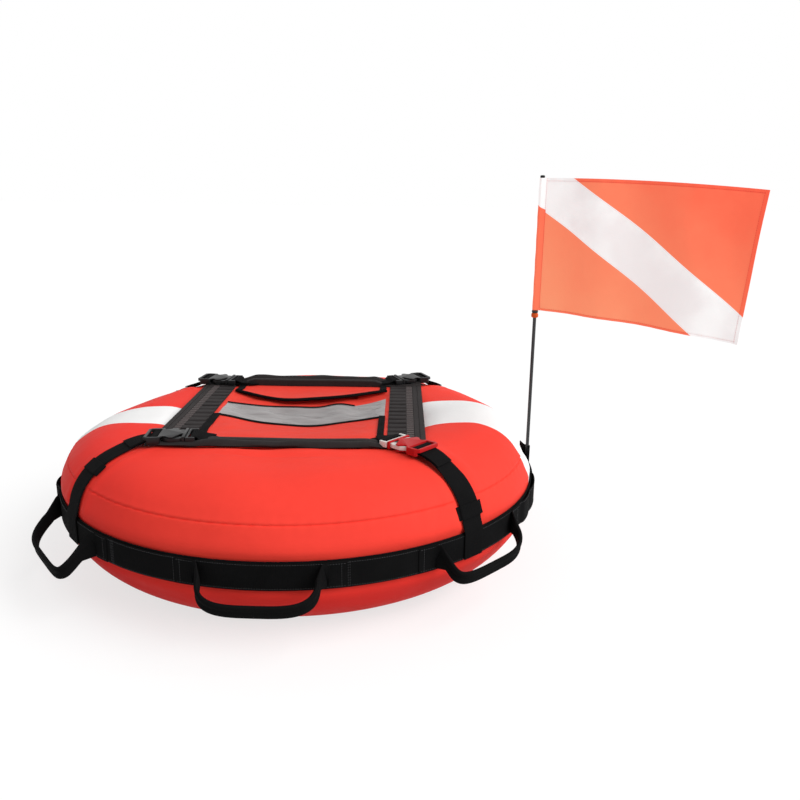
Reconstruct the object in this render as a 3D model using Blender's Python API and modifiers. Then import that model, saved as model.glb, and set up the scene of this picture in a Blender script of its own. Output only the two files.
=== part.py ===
"""Freediving buoy: an inflated inner tube in a red fabric cover, with a webbing belt, six hand loops,
a buckled centre panel over a storage well, and a flag on a mast.

Metres, +Z up. The origin is on the ring's axis, at the ground. The front is -Y, the mast is near +X.
Angles round the ring (azimuths) are in degrees from the front, positive towards +X.
Angles round the tube's section are in degrees from the outer equator, positive over the crest.
"""

import math

import bmesh
import bpy
from mathutils import Matrix, Vector

# Ring and cover
RING_RADIUS = 0.274            # ring axis to the middle of the tube's section
TUBE_HALF_WIDTH = 0.1275       # section, from its middle to the outer equator
CREST_HEIGHT = 0.105           # equator to the crest
KEEL_HEIGHT = 0.117            # equator to the underside
CREST_FULLNESS = 2.4           # exponent of the section above the equator, 2 is an ellipse
RING_STEPS = 40                # facets round the ring
SECTION_STEP = 20              # degrees of the section for each facet, about
SEAM_ANGLE = 30                # cover seam above the belt
BELT_SEAM_ANGLE = -10          # cover seam behind the belt
WELL_SEAM_ANGLE = 210          # cover seam low in the well
COVER_THICKNESS = 0.001
TUBE_WALL = 0.0015
SKIN_GAP = 0.0004              # between skins that lie on each other
FIT_GAP = 0.0003               # between solids that touch

# Valve, in the well
VALVE_AZIMUTH = 154            # brought to the middle of the nearest facet
VALVE_FLANGE_RADIUS = 0.0085
VALVE_FLANGE_THICKNESS = 0.0014
VALVE_STEM_RADIUS = 0.004
VALVE_STEM_LENGTH = 0.030
VALVE_BORE_RADIUS = 0.0015
VALVE_HOLE_RADIUS = 0.011      # hole in the cover
TUBE_VENT_RADIUS = 0.003       # hole in the tube under the flange
VALVE_CAP_LENGTH = 0.012
VALVE_CAP_WALL = 0.0013

# Floor of the well and the webbing under it
FLOOR_THICKNESS = 0.0012
FLOOR_OVERLAP = 0.004          # floor cloth past the lowest ring of the cover
CROSS_WIDTH = 0.040
CROSS_REACH = 0.300
CROSS_PATCH = 0.075

# Webbing
WEBBING_THICKNESS = 0.0016
WEBBING_WIDTH = 0.038
BELT_WIDTH = 0.042
BELT_THICKNESS = 0.0018
BELT_CENTRE = -0.006           # height over the equator
LAYER_GAP = 0.0005             # between webbing layers on the belt
ARC_STEP = 1.875               # degrees, along layers sewn on the belt

# Hand loops
LOOP_AZIMUTHS = {"front": -1.5, "front_right": 46.0, "rear_right": 134.0,
                 "rear": 178.5, "rear_left": -128.0, "front_left": -52.0}
LOOP_HALF_SPAN = 0.079
LOOP_REACH = 0.049
LOOP_DROOP = 37                # degrees below level
LOOP_WIDTH = 0.020
LOOP_THICKNESS = 0.007
LOOP_ROOT_RADIUS = 0.0035
LOOP_ROOT_TURNS = (70, 35)     # degrees round the root's closed end, for each of its rings
LOOP_SQUARENESS = 0.70         # 1 is an ellipse, less is squarer
LOOP_ROOT_SHARE = 0.5          # of the reach, over which the root widens to the grip
LOOP_STATIONS = 14
TAIL_LENGTH = 0.040
TAIL_INSET = 0.006             # tail past the loop's root, towards its middle
TAIL_HEIGHT = 0.036
TAIL_SINK = 0.0007             # how far stitching draws a tail into the layer under it

# Centre panel
PANEL_HALF_WIDTH = 0.212
PANEL_HALF_DEPTH = 0.178
BAND_WIDTH = 0.061
BAND_THICKNESS = 0.0018
RIB_COUNT = 15
RIB_HEIGHT = 0.0012
RAIL_WIDTH = 0.034
RAIL_THICKNESS = 0.0032
PANEL_CLOTH = 0.001
PANEL_LIFT = 0.0006            # panel cloth over the crest
FLAP_INSET = 0.024             # flap's hinge from the near edge of the rear rail
FLAP_SIDE_DEPTH = 0.024        # flap from its hinge to its front edge, at its sides
FLAP_MIDDLE_DEPTH = 0.080      # and in its middle
WINDOW_SPACE = 0.018           # between the flap and the window
WINDOW_DEPTH = 0.092
WINDOW_THICKNESS = 0.0007
WINDOW_LAP = 0.006             # window sheet past its hole
MOUTH_INSET = 0.030            # mouth from the flap's hinge
MOUTH_DEPTH = 0.027
MOUTH_HALF_WIDTH = 0.090
POCKET_THICKNESS = 0.001
BINDING_WIDTH = 0.008
BINDING_THICKNESS = 0.0016
FLAP_LIFT = 0.0006             # flap over the panel cloth
FLAP_HINGE_INSET = 0.010       # each end of the hinge edge from the flap's side
FLAP_THICKNESS = 0.0012
FLAP_BINDING = 0.007
PANEL_SIDE_GAP = 0.007         # bare cloth between the pocket and a side band

# Buckles: middle of each from its panel corner, and its turn from level to the front or rear
BUCKLE_PLACES = {"front_left": (-1, -1, 0.034, 0.008, 5), "front_right": (1, -1, 0.027, 0.035, 40),
                 "rear_right": (1, 1, 0.024, 0.038, 24), "rear_left": (-1, 1, 0.025, 0.010, 8)}
BUCKLE_LENGTH = 0.076
BUCKLE_HALF_WIDTH = 0.0245
BUCKLE_HEIGHT = 0.011
CAVITY_HEIGHT = 0.0072
CAVITY_HALF_WIDTH = 0.0215
MALE_HEIGHT = 0.009
MALE_LENGTH = 0.0137
BAR_DEPTH = 0.0055
BAR_HEIGHT = 0.0044
SLOT_DEPTH = 0.0050
SLOT_HALF_WIDTH = 0.0205
LADDER_INNER = 0.0040          # the female's slots, on both sides of its ladder bar
LADDER_BAR = 0.0045
LADDER_OUTER = 0.0080
RIM_DEPTH = 0.0045             # end rim of the female's frame, over the strap
RIM_LOW = 0.0002
TONGUE_HALF_WIDTH = 0.004
TONGUE_HEIGHT = 0.005
TONGUE_REACH = 0.030
PRONG_HEIGHT = 0.006
PRONG_SIDE = 0.0165
PRONG_LENGTH = 0.036
PRONG_CLEARANCE = 0.0032       # from a prong's tip to the end of the female's cavity
BUCKLE_PARTING = 0.0012        # between the male's face and the female's mouth
BUCKLE_EASING = 0.001          # how far the corners are drawn in or let out
MOUTH_BAR = 0.0045             # ring round the female's mouth
SPINE_HALF_WIDTH = 0.0055      # spine between the mouth and the cross plate
CROSS_START = 0.0125           # cross plate over the prongs, from the male's face
CROSS_STOP = 0.0240
CROSS_FLARE = 0.0065           # how far its ends splay
NECK_HALF_WIDTH = 0.0180       # neck between the cross plate and the frame
NECK_LENGTH = 0.0050
CORNER_CUT = 0.0035            # off the corners of the frame
CUT_MARGIN = 0.001             # how far a cutter runs past the face that it opens

# Straps from the buckles to the belt
STRAP_AZIMUTHS = {"front_left": -50.0, "front_right": 43.5, "rear_right": 136.5, "rear_left": -130.0}
STRAP_LIFT = 0.0006            # strap over the cover
STRAP_RUN = 0.0615             # from the buckle's bar to where the strap lies on the cover
STRAP_TAIL = 0.046             # folded end on top of the strap
STRAP_SETTLE = 0.0072          # length over which it comes down from the bar
TAB_REACH = 0.060              # rail webbing, from the rail to the buckle's bar
TAB_TAIL = 0.026
TAB_SETTLE = 0.011
KEEPER_ANGLES = {"front_left": 48, "front_right": 20, "rear_right": 20, "rear_left": 48}
KEEPER_WIDTH = 0.020
KEEPER_OVERHANG = 0.006
KEEPER_THICKNESS = 0.0012
FREE_STEPS = 8                 # segments of a strap between the cover and the buckle
SETTLE_STEPS = 5               # segments of a folded tail, while it comes down and then on its strap
TAIL_STEPS = 4
STRAP_STEP = 6                 # degrees of the section for each segment on the cover
STRAP_LOW_ANGLE = 12           # section angle where a strap leaves the belt for the cover

# Mast and flag
MAST_AZIMUTH = 97.0
MAST_RADIUS = 0.003
MAST_TOP = 0.5095              # height over the equator
MAST_FOOT = -0.078
MAST_CLEARANCE = 0.0004
HOLDER_LOW = -0.026            # webbing loop round the mast
HOLDER_HIGH = 0.032
HOLDER_TAIL = 0.030
STRIP_WIDTH = 0.012            # strip behind the mast, from the belt down to the pocket
POCKET_HIGH = -0.038
POCKET_WALL = 0.0012
POCKET_TOE = 0.0022
TIP_RADIUS = 0.0040
TIP_LENGTH = 0.004
STOP_RADIUS = 0.0062
STOP_LENGTH = 0.008
COLLAR_RADIUS = 0.0055
COLLAR_LENGTH = 0.005
FLAG_LENGTH = 0.345
FLAG_HEIGHT = 0.224
FLAG_THICKNESS = 0.0006
FLAG_HEADING = -37             # degrees from +X, towards the front
FLAG_TWIST = 4                 # how far its upper edge turns to the rear, and its lower one to the front
FLAG_DROOP = 0.020
FLAG_RIPPLE = 0.006
FLAG_RIPPLES = 2.3
SLEEVE_WALL = 0.0008
FLAG_COLUMNS = 18
FLAG_ROWS = 6

# Facets of turned pieces, and the angle past which an edge stays sharp
TURNED_SIDES = 20
ROD_SIDES = 16
SHARP_ANGLE = 40
WELD = 0.00001

EQUATOR_Z = KEEL_HEIGHT + WEBBING_THICKNESS + FLOOR_THICKNESS + 2 * FIT_GAP


def material(name, colour, roughness, alpha=1.0):
    """A Principled material, coloured in linear values."""
    made = bpy.data.materials.new(name)
    made.use_nodes = True
    made.diffuse_color = (*colour, alpha)
    shader = made.node_tree.nodes["Principled BSDF"]
    shader.inputs["Base Color"].default_value = (*colour, 1.0)
    shader.inputs["Roughness"].default_value = roughness
    shader.inputs["Metallic"].default_value = 0.0
    shader.inputs["Alpha"].default_value = alpha
    return made


RED_CLOTH = (0.83, 0.045, 0.028)
BLACK_WEBBING = (0.012, 0.012, 0.013)
FINISHES = {
    "red_cloth": (RED_CLOTH, 0.62),
    "black_webbing": (BLACK_WEBBING, 0.75),
    "black_plastic": ((0.010, 0.010, 0.011), 0.32),
    "red_plastic": ((0.55, 0.02, 0.025), 0.28),
    "white_plastic": ((0.85, 0.84, 0.80), 0.35),
    "clear_vinyl": ((0.42, 0.43, 0.44), 0.15),
    "black_rubber": ((0.015, 0.015, 0.016), 0.55),
    "flag_cloth": ((0.90, 0.10, 0.045), 0.60),
    "orange_plastic": ((0.85, 0.13, 0.03), 0.40),
    "floor_cloth": ((0.02, 0.02, 0.022), 0.80),
}


def collection(name):
    made = bpy.data.collections.new(name)
    bpy.context.scene.collection.children.link(made)
    return made


def add(node, data, look, matrix=None):
    """One named sub-part in the buoy's collection."""
    made = bpy.data.objects.new(node, data)
    PARTS.objects.link(made)
    if matrix is not None:
        made.matrix_world = matrix
    if look is not None:
        made.data.materials.clear()
        made.data.materials.append(material(node + "_finish", *FINISHES[look]))
    return made


def mesh_of(name, bm):
    """A bmesh as a mesh, with smooth faces and sharp edges kept."""
    data = bpy.data.meshes.new(name)
    bm.to_mesh(data)
    bm.free()
    data.shade_smooth()
    data.set_sharp_from_angle(angle=math.radians(SHARP_ANGLE))
    return data


def solidify(obj, thickness, offset):
    """Wall of a sheet: offset -1 lies behind it, 0 on both sides."""
    wall = obj.modifiers.new("Wall", "SOLIDIFY")
    wall.thickness = thickness
    wall.offset = offset
    wall.use_even_offset = True
    return wall


def boolean(obj, cutter, operation="DIFFERENCE"):
    cut = obj.modifiers.new("Cut", "BOOLEAN")
    cut.operation = operation
    cut.object = cutter
    return cut


def cutter(name, data, matrix=None):
    made = bpy.data.objects.new(name, data)
    CUTTERS.objects.link(made)
    if matrix is not None:
        made.matrix_world = matrix
    made.hide_render = True
    made.display_type = "WIRE"
    return made


def box_mesh(name, low, high):
    """A box between two corners."""
    bm = bmesh.new()
    bmesh.ops.create_cube(bm, size=1.0)
    size = Vector(high) - Vector(low)
    middle = (Vector(high) + Vector(low)) / 2
    bmesh.ops.scale(bm, vec=size, verts=bm.verts)
    bmesh.ops.translate(bm, vec=middle, verts=bm.verts)
    return mesh_of(name, bm)


def round_mesh(name, radius, low, high, sides=TURNED_SIDES):
    """A cylinder on Z."""
    bm = bmesh.new()
    bmesh.ops.create_cone(bm, cap_ends=True, segments=sides, radius1=radius, radius2=radius,
                          depth=high - low)
    bmesh.ops.translate(bm, vec=(0, 0, (low + high) / 2), verts=bm.verts)
    return mesh_of(name, bm)


def turned(node, profile, look, steps=TURNED_SIDES, closed=False, matrix=None):
    """A turned piece: (radius, height) points, top to bottom down the outer side, round Z."""
    bm = bmesh.new()
    corners = [bm.verts.new((r, 0, z)) for r, z in profile]
    for first, second in zip(corners, corners[1:]):
        bm.edges.new((first, second))
    if closed:
        bm.edges.new((corners[-1], corners[0]))
    obj = add(node, mesh_of(node, bm), look, matrix)
    screw = obj.modifiers.new("Turn", "SCREW")
    screw.steps = steps
    screw.render_steps = steps
    screw.use_merge_vertices = True
    screw.merge_threshold = WELD
    screw.use_smooth_shade = True
    return obj


def plate(node, outlines, thickness, low, look):
    """A flat sheet from closed outlines, the first its edge and the others its holes."""
    curve = bpy.data.curves.new(node, "CURVE")
    curve.dimensions = "2D"
    curve.fill_mode = "BOTH"
    curve.extrude = thickness / 2
    for outline in outlines:
        spline = curve.splines.new("POLY")
        spline.points.add(len(outline) - 1)
        for point, (x, y) in zip(spline.points, outline):
            point.co = (x, y, 0, 1)
        spline.use_cyclic_u = True
    return add(node, curve, look, Matrix.Translation((0, 0, low + thickness / 2)))


def as_mesh(obj):
    """A curve object made a mesh, with its caps welded, under the same name."""
    graph = bpy.context.evaluated_depsgraph_get()
    data = bpy.data.meshes.new_from_object(obj.evaluated_get(graph))
    bm = bmesh.new()
    bm.from_mesh(data)
    bmesh.ops.remove_doubles(bm, verts=bm.verts, dist=WELD)
    bmesh.ops.recalc_face_normals(bm, faces=bm.faces)
    bm.to_mesh(data)
    bm.free()
    name, place, looks = obj.name, obj.matrix_world.copy(), list(obj.data.materials)
    bpy.data.objects.remove(obj)
    made = add(name, data, None, place)
    data.materials.clear()
    for look in looks:
        data.materials.append(look)
    return made


def rectangle(x0, x1, y0, y1):
    return [(x0, y0), (x1, y0), (x1, y1), (x0, y1)]


def section(angle, offset=0.0):
    """(radius, height over the equator) on the cover's section, moved out along its normal."""
    def on_curve(degrees):
        a = math.radians(degrees)
        full = CREST_FULLNESS if math.sin(a) > 0 else 2.0
        tall = CREST_HEIGHT if math.sin(a) > 0 else KEEL_HEIGHT
        across = math.copysign(abs(math.cos(a)) ** (2 / full), math.cos(a))
        up = math.copysign(abs(math.sin(a)) ** (2 / full), math.sin(a))
        return Vector((RING_RADIUS + TUBE_HALF_WIDTH * across, tall * up))
    along = on_curve(angle + 0.5) - on_curve(angle - 0.5)
    normal = Vector((along.y, -along.x)).normalized()
    point = on_curve(angle) + offset * normal
    return point.x, point.y


def crest_angle(radius):
    """Section angle of the cover's upper side at a radius outside the crest."""
    share = (radius - RING_RADIUS) / TUBE_HALF_WIDTH
    return math.degrees(math.acos(share ** (CREST_FULLNESS / 2)))


def around(azimuth):
    """Turns a piece modelled at the front to its azimuth."""
    return Matrix.Rotation(math.radians(azimuth), 4, "Z")


def outward(azimuth):
    a = math.radians(azimuth)
    return Vector((math.sin(a), -math.cos(a), 0))


def span(start, stop):
    """Section angles from one seam to the next."""
    count = max(1, round((start - stop) / SECTION_STEP))
    return [start - k * (start - stop) / count for k in range(count + 1)]


def ring_skin(node, span_angles, look):
    """A cover skin between two seams of the section, its ends drawn in by a seam's gap."""
    trim = math.degrees(FIT_GAP / TUBE_HALF_WIDTH)
    inner = span_angles[1:-1]
    angles = [span_angles[0] - trim] + inner + [span_angles[-1] + trim]
    profile = [(r, z + EQUATOR_Z) for r, z in map(section, angles)]
    obj = turned(node, profile, look, RING_STEPS)
    solidify(obj, COVER_THICKNESS, -1)
    return obj


def ribbon(name, points, sides, width):
    """A flat strip along points, each with its own side vector."""
    bm = bmesh.new()
    rows = []
    for point, side in zip(points, sides):
        half = Vector(side).normalized() * width / 2
        rows.append((bm.verts.new(Vector(point) - half), bm.verts.new(Vector(point) + half)))
    for (a, b), (c, d) in zip(rows, rows[1:]):
        bm.faces.new((a, b, d, c))
    return mesh_of(name, bm)


def belt_arc(radius, start, stop, low, high):
    """A strip on the belt between two azimuths."""
    count = max(2, math.ceil((stop - start) / ARC_STEP))
    azimuths = [start + k * (stop - start) / count for k in range(count + 1)]
    middle = EQUATOR_Z + (low + high) / 2
    points = [outward(a) * radius + Vector((0, 0, middle)) for a in azimuths]
    return ribbon("arc", points, [(0, 0, 1)] * len(points), high - low)


def smooth(x):
    """0 to 1 with level ends."""
    x = min(max(x, 0.0), 1.0)
    return x * x * (3 - 2 * x)


def hermite(start, leave, end, arrive, share):
    """A point on the smooth curve between two points with their directions."""
    a = 2 * share ** 3 - 3 * share ** 2 + 1
    b = share ** 3 - 2 * share ** 2 + share
    c = -2 * share ** 3 + 3 * share ** 2
    d = share ** 3 - share ** 2
    return start * a + leave * b + end * c + arrive * d


for old in list(bpy.data.objects):
    bpy.data.objects.remove(old)
PARTS = collection("freediving_buoy")
CUTTERS = collection("cutters")

# Inner tube, with the same facets as the three skins of the cover
TUBE_OFFSET = -(COVER_THICKNESS + SKIN_GAP)
top_angles = span(WELL_SEAM_ANGLE, SEAM_ANGLE)
side_angles = span(SEAM_ANGLE, BELT_SEAM_ANGLE)
bottom_angles = span(BELT_SEAM_ANGLE, WELL_SEAM_ANGLE - 360)
tube_angles = top_angles[:-1] + side_angles[:-1] + bottom_angles[:-1]
tube_profile = [section(a, TUBE_OFFSET) for a in tube_angles]
inner_tube = turned("inner_tube", [(r, z + EQUATOR_Z) for r, z in tube_profile], "black_rubber",
                    RING_STEPS, closed=True)
solidify(inner_tube, TUBE_WALL, -1)

# Valve at the waist of the well: its own Z points to the ring's axis
waist = min(section(a, TUBE_OFFSET)[0] for a in tube_angles)
valve_seat = waist * math.cos(math.pi / RING_STEPS) - FIT_GAP
facet = 360 / RING_STEPS
valve_azimuth = (math.floor(VALVE_AZIMUTH / facet) + 0.5) * facet
valve_frame = around(valve_azimuth) @ Matrix.Translation((0, -valve_seat, EQUATOR_Z))
valve_frame = valve_frame @ Matrix.Rotation(math.radians(-90), 4, "X")
vent = cutter("vent_cutter", round_mesh("vent_cutter", TUBE_VENT_RADIUS, -4 * TUBE_WALL, TUBE_WALL),
              valve_frame)
boolean(inner_tube, vent)
turned("valve_stem",
       [(VALVE_BORE_RADIUS, VALVE_STEM_LENGTH), (VALVE_STEM_RADIUS, VALVE_STEM_LENGTH),
        (VALVE_STEM_RADIUS, VALVE_FLANGE_THICKNESS), (VALVE_FLANGE_RADIUS, VALVE_FLANGE_THICKNESS),
        (VALVE_FLANGE_RADIUS, 0), (VALVE_BORE_RADIUS, 0)],
       "black_rubber", ROD_SIDES, closed=True, matrix=valve_frame)
cap_bore = VALVE_STEM_RADIUS + FIT_GAP
cap_seat = VALVE_STEM_LENGTH + FIT_GAP
cap_low = cap_seat + VALVE_CAP_WALL - VALVE_CAP_LENGTH
turned("valve_cap",
       [(0, cap_seat + VALVE_CAP_WALL), (cap_bore + VALVE_CAP_WALL, cap_seat + VALVE_CAP_WALL),
        (cap_bore + VALVE_CAP_WALL, cap_low), (cap_bore, cap_low), (cap_bore, cap_seat), (0, cap_seat)],
       "black_plastic", ROD_SIDES, matrix=valve_frame)

# Cover in three skins, and the floor cloth of the well
cover_top = ring_skin("cover_top", top_angles, "red_cloth")
ring_skin("cover_side", side_angles, "red_cloth")
ring_skin("cover_bottom", bottom_angles, "red_cloth")
valve_hole = cutter("valve_hole_cutter",
                    round_mesh("valve_hole_cutter", VALVE_HOLE_RADIUS, -VALVE_HOLE_RADIUS, VALVE_HOLE_RADIUS),
                    valve_frame)
boolean(cover_top, valve_hole)
floor_low = WEBBING_THICKNESS + FIT_GAP
add("well_floor",
    round_mesh("well_floor", RING_RADIUS + FLOOR_OVERLAP, floor_low, floor_low + FLOOR_THICKNESS, RING_STEPS),
    "floor_cloth")

# Webbing cross under the floor cloth: the buoy rests on it, and the dive line is tied to its middle
arm, patch = CROSS_WIDTH / 2, CROSS_PATCH / 2
quarter = [(CROSS_REACH, -arm), (CROSS_REACH, arm), (patch, arm), (patch, patch), (arm, patch)]
cross = []
for turn in range(4):
    spin = Matrix.Rotation(math.radians(90 * turn), 2)
    cross += [tuple(spin @ Vector(point)) for point in quarter]
plate("under_cross", [cross], WEBBING_THICKNESS, 0, "black_webbing")

# Belt round the equator
body_edge = max(section(a)[0] for a in tube_angles)
BELT_OUT = body_edge + SKIN_GAP + BELT_THICKNESS
LAYER_IN = BELT_OUT + LAYER_GAP
LAYER_OUT = LAYER_IN + WEBBING_THICKNESS
belt_top = EQUATOR_Z + BELT_CENTRE + BELT_WIDTH / 2
belt = turned("belt", [(BELT_OUT, belt_top), (BELT_OUT, belt_top - BELT_WIDTH)], "black_webbing", RING_STEPS)
solidify(belt, BELT_THICKNESS, -1)
SEWN_MID = LAYER_OUT + LAYER_GAP + WEBBING_THICKNESS / 2
SEWN_OUT = LAYER_OUT + LAYER_GAP + WEBBING_THICKNESS

# Daisy chain: the belt's second layer, with the tails of the hand loops sewn on it
daisy_top = EQUATOR_Z + BELT_CENTRE + WEBBING_WIDTH / 2
daisy = turned("belt_daisy_chain", [(LAYER_OUT, daisy_top), (LAYER_OUT, daisy_top - WEBBING_WIDTH)],
               "black_webbing", 2 * RING_STEPS)
solidify(daisy, WEBBING_THICKNESS, -1)
tail_mid = LAYER_OUT - TAIL_SINK + WEBBING_THICKNESS / 2
root_angle = math.degrees(math.asin(LOOP_HALF_SPAN / LAYER_OUT))
tail_start = root_angle - math.degrees(TAIL_INSET / LAYER_OUT)
tail_stop = tail_start + math.degrees(TAIL_LENGTH / LAYER_OUT)
tail_low = BELT_CENTRE - TAIL_HEIGHT / 2
for name, azimuth in LOOP_AZIMUTHS.items():
    for hand, low, high in (("a", azimuth - tail_stop, azimuth - tail_start),
                            ("b", azimuth + tail_start, azimuth + tail_stop)):
        arc = belt_arc(tail_mid, low, high, tail_low, tail_low + TAIL_HEIGHT)
        tail = cutter("tail_" + name + "_" + hand, arc)
        solidify(tail, WEBBING_THICKNESS, 0)
        boolean(daisy, tail, "UNION")


def loop_section(width, thickness):
    """Eight corners of a folded webbing's section."""
    corners = [math.radians(22.5 + 45 * k) for k in range(8)]
    return [(width / 2 * math.cos(a) / math.cos(math.radians(22.5)),
             thickness / 2 * math.sin(a) / math.cos(math.radians(22.5))) for a in corners]


def loop_mesh():
    """A hand loop in its own frame: X along the hinge, Y out along the loop, Z across it."""
    def path(share):
        a = math.pi * share
        across = math.copysign(abs(math.cos(a)) ** LOOP_SQUARENESS, math.cos(a))
        return Vector((LOOP_HALF_SPAN * across, LOOP_REACH * math.sin(a) ** LOOP_SQUARENESS))
    bm = bmesh.new()
    root = []
    for turn in LOOP_ROOT_TURNS:
        back, flat = math.sin(math.radians(turn)), math.cos(math.radians(turn))
        root.append([(across, -back * LOOP_THICKNESS / 2, up * flat)
                     for across, up in loop_section(2 * LOOP_ROOT_RADIUS, LOOP_THICKNESS)])
    rings = [[bm.verts.new((LOOP_HALF_SPAN - x, y, z)) for x, y, z in ring] for ring in root]
    for k in range(LOOP_STATIONS + 1):
        share = k / LOOP_STATIONS
        point = path(share)
        ahead, behind = path(min(share + 0.01, 1)), path(max(share - 0.01, 0))
        along = (ahead - behind).normalized()
        if k in (0, LOOP_STATIONS):
            along = Vector((0, 1 if k == 0 else -1))
        spread = smooth(point.y / (LOOP_REACH * LOOP_ROOT_SHARE))
        width = 2 * LOOP_ROOT_RADIUS + (LOOP_WIDTH - 2 * LOOP_ROOT_RADIUS) * spread
        normal = Vector((-along.y, along.x))
        ring = []
        for across, up in loop_section(width, LOOP_THICKNESS):
            spot = point + normal * across
            ring.append(bm.verts.new((spot.x, spot.y, up)))
        rings.append(ring)
    rings += [[bm.verts.new((x - LOOP_HALF_SPAN, y, z)) for x, y, z in ring] for ring in reversed(root)]
    for first, second in zip(rings, rings[1:]):
        for k in range(8):
            bm.faces.new((first[k], first[k - 1], second[k - 1], second[k]))
    bm.faces.new(rings[0])
    bm.faces.new(reversed(rings[-1]))
    bmesh.ops.recalc_face_normals(bm, faces=bm.faces)
    return mesh_of("hand_loop", bm)


# Hand loops, each hinged on the chord between its round roots, which bear on the tails
tail_out = tail_mid + WEBBING_THICKNESS / 2
loop_chord = math.sqrt(tail_out ** 2 - (LOOP_HALF_SPAN - LOOP_ROOT_RADIUS) ** 2) + LOOP_THICKNESS / 2 + FIT_GAP
droop = math.radians(LOOP_DROOP)
tilt = Matrix(((1, 0, 0, 0), (0, -math.cos(droop), math.sin(droop), 0),
               (0, -math.sin(droop), -math.cos(droop), 0), (0, 0, 0, 1)))
for name, azimuth in LOOP_AZIMUTHS.items():
    frame = around(azimuth) @ Matrix.Translation((0, -loop_chord, EQUATOR_Z + BELT_CENTRE)) @ tilt
    add("loop_" + name, loop_mesh(), "black_webbing", frame)

# Centre panel: its cloth, with the window's and the mouth's holes
crest_z = EQUATOR_Z + CREST_HEIGHT
cloth_low = crest_z + PANEL_LIFT
top_layer = cloth_low + PANEL_CLOTH + FIT_GAP
inner_edge = PANEL_HALF_WIDTH - BAND_WIDTH
side_edge = inner_edge - PANEL_SIDE_GAP
cloth_edge = PANEL_HALF_WIDTH - PANEL_SIDE_GAP
cloth_end = PANEL_HALF_DEPTH + RAIL_WIDTH - PANEL_SIDE_GAP
hole_edge = side_edge - WINDOW_LAP
hinge_y = PANEL_HALF_DEPTH - FLAP_INSET
window_rear = hinge_y - FLAP_MIDDLE_DEPTH - WINDOW_SPACE
window_front = window_rear - WINDOW_DEPTH
mouth_rear = hinge_y - MOUTH_INSET
plate("panel_cloth",
      [rectangle(-cloth_edge, cloth_edge, -cloth_end, cloth_end),
       rectangle(-hole_edge, hole_edge, window_front + WINDOW_LAP, window_rear - WINDOW_LAP),
       rectangle(-MOUTH_HALF_WIDTH, MOUTH_HALF_WIDTH, mouth_rear - MOUTH_DEPTH, mouth_rear)],
      PANEL_CLOTH, cloth_low, "red_cloth")
plate("window", [rectangle(-side_edge, side_edge, window_front, window_rear)],
      WINDOW_THICKNESS, top_layer, "clear_vinyl")
pocket_front = -PANEL_HALF_DEPTH + FIT_GAP
plate("pocket", [rectangle(-side_edge, side_edge, pocket_front, window_front - FIT_GAP)],
      POCKET_THICKNESS, top_layer, "red_cloth")
binding_low = top_layer + max(POCKET_THICKNESS, WINDOW_THICKNESS) + FIT_GAP
binding_rear = window_front + BINDING_WIDTH / 2
in_edge = side_edge - BINDING_WIDTH
plate("pocket_binding",
      [[(-side_edge, pocket_front), (-in_edge, pocket_front), (-in_edge, binding_rear - BINDING_WIDTH),
        (in_edge, binding_rear - BINDING_WIDTH), (in_edge, pocket_front), (side_edge, pocket_front),
        (side_edge, binding_rear), (-side_edge, binding_rear)]],
      BINDING_THICKNESS, binding_low, "black_webbing")

# Ribbed side bands
pitch = 2 * PANEL_HALF_DEPTH / RIB_COUNT
ribs = []
for k in range(RIB_COUNT):
    start = PANEL_HALF_DEPTH - k * pitch
    ribs += [(start - 0.12 * pitch, BAND_THICKNESS), (start - 0.28 * pitch, BAND_THICKNESS + RIB_HEIGHT),
             (start - 0.72 * pitch, BAND_THICKNESS + RIB_HEIGHT), (start - 0.88 * pitch, BAND_THICKNESS)]
band_outline = [(-PANEL_HALF_DEPTH, 0), (PANEL_HALF_DEPTH, 0), (PANEL_HALF_DEPTH, BAND_THICKNESS)]
band_outline += ribs + [(-PANEL_HALF_DEPTH, BAND_THICKNESS)]
for name, side in (("left", -1), ("right", 1)):
    band = plate("side_band_" + name, [band_outline], BAND_WIDTH, 0, "black_webbing")
    band.matrix_world = Matrix(((0, 0, 1, side * (PANEL_HALF_WIDTH - BAND_WIDTH / 2)),
                                (1, 0, 0, 0), (0, 1, 0, top_layer), (0, 0, 0, 1)))

# Rails across the front and the rear
rail_near, rail_far = PANEL_HALF_DEPTH + FIT_GAP, PANEL_HALF_DEPTH + RAIL_WIDTH
rail_middle = (rail_near + rail_far) / 2
rails = {}
for end, name in ((-1, "rail_front"), (1, "rail_rear")):
    near, far = sorted((end * rail_near, end * rail_far))
    rail = plate(name, [rectangle(-PANEL_HALF_WIDTH, PANEL_HALF_WIDTH, near, far)],
                 RAIL_THICKNESS, top_layer, "black_webbing")
    rails[end] = as_mesh(rail)
panel_top = top_layer + max(RAIL_THICKNESS, BAND_THICKNESS + RIB_HEIGHT)


def flap_front(x):
    """Front edge of the flap: it sags forward in its middle."""
    return hinge_y - FLAP_MIDDLE_DEPTH + (FLAP_MIDDLE_DEPTH - FLAP_SIDE_DEPTH) * (x / side_edge) ** 2


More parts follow.
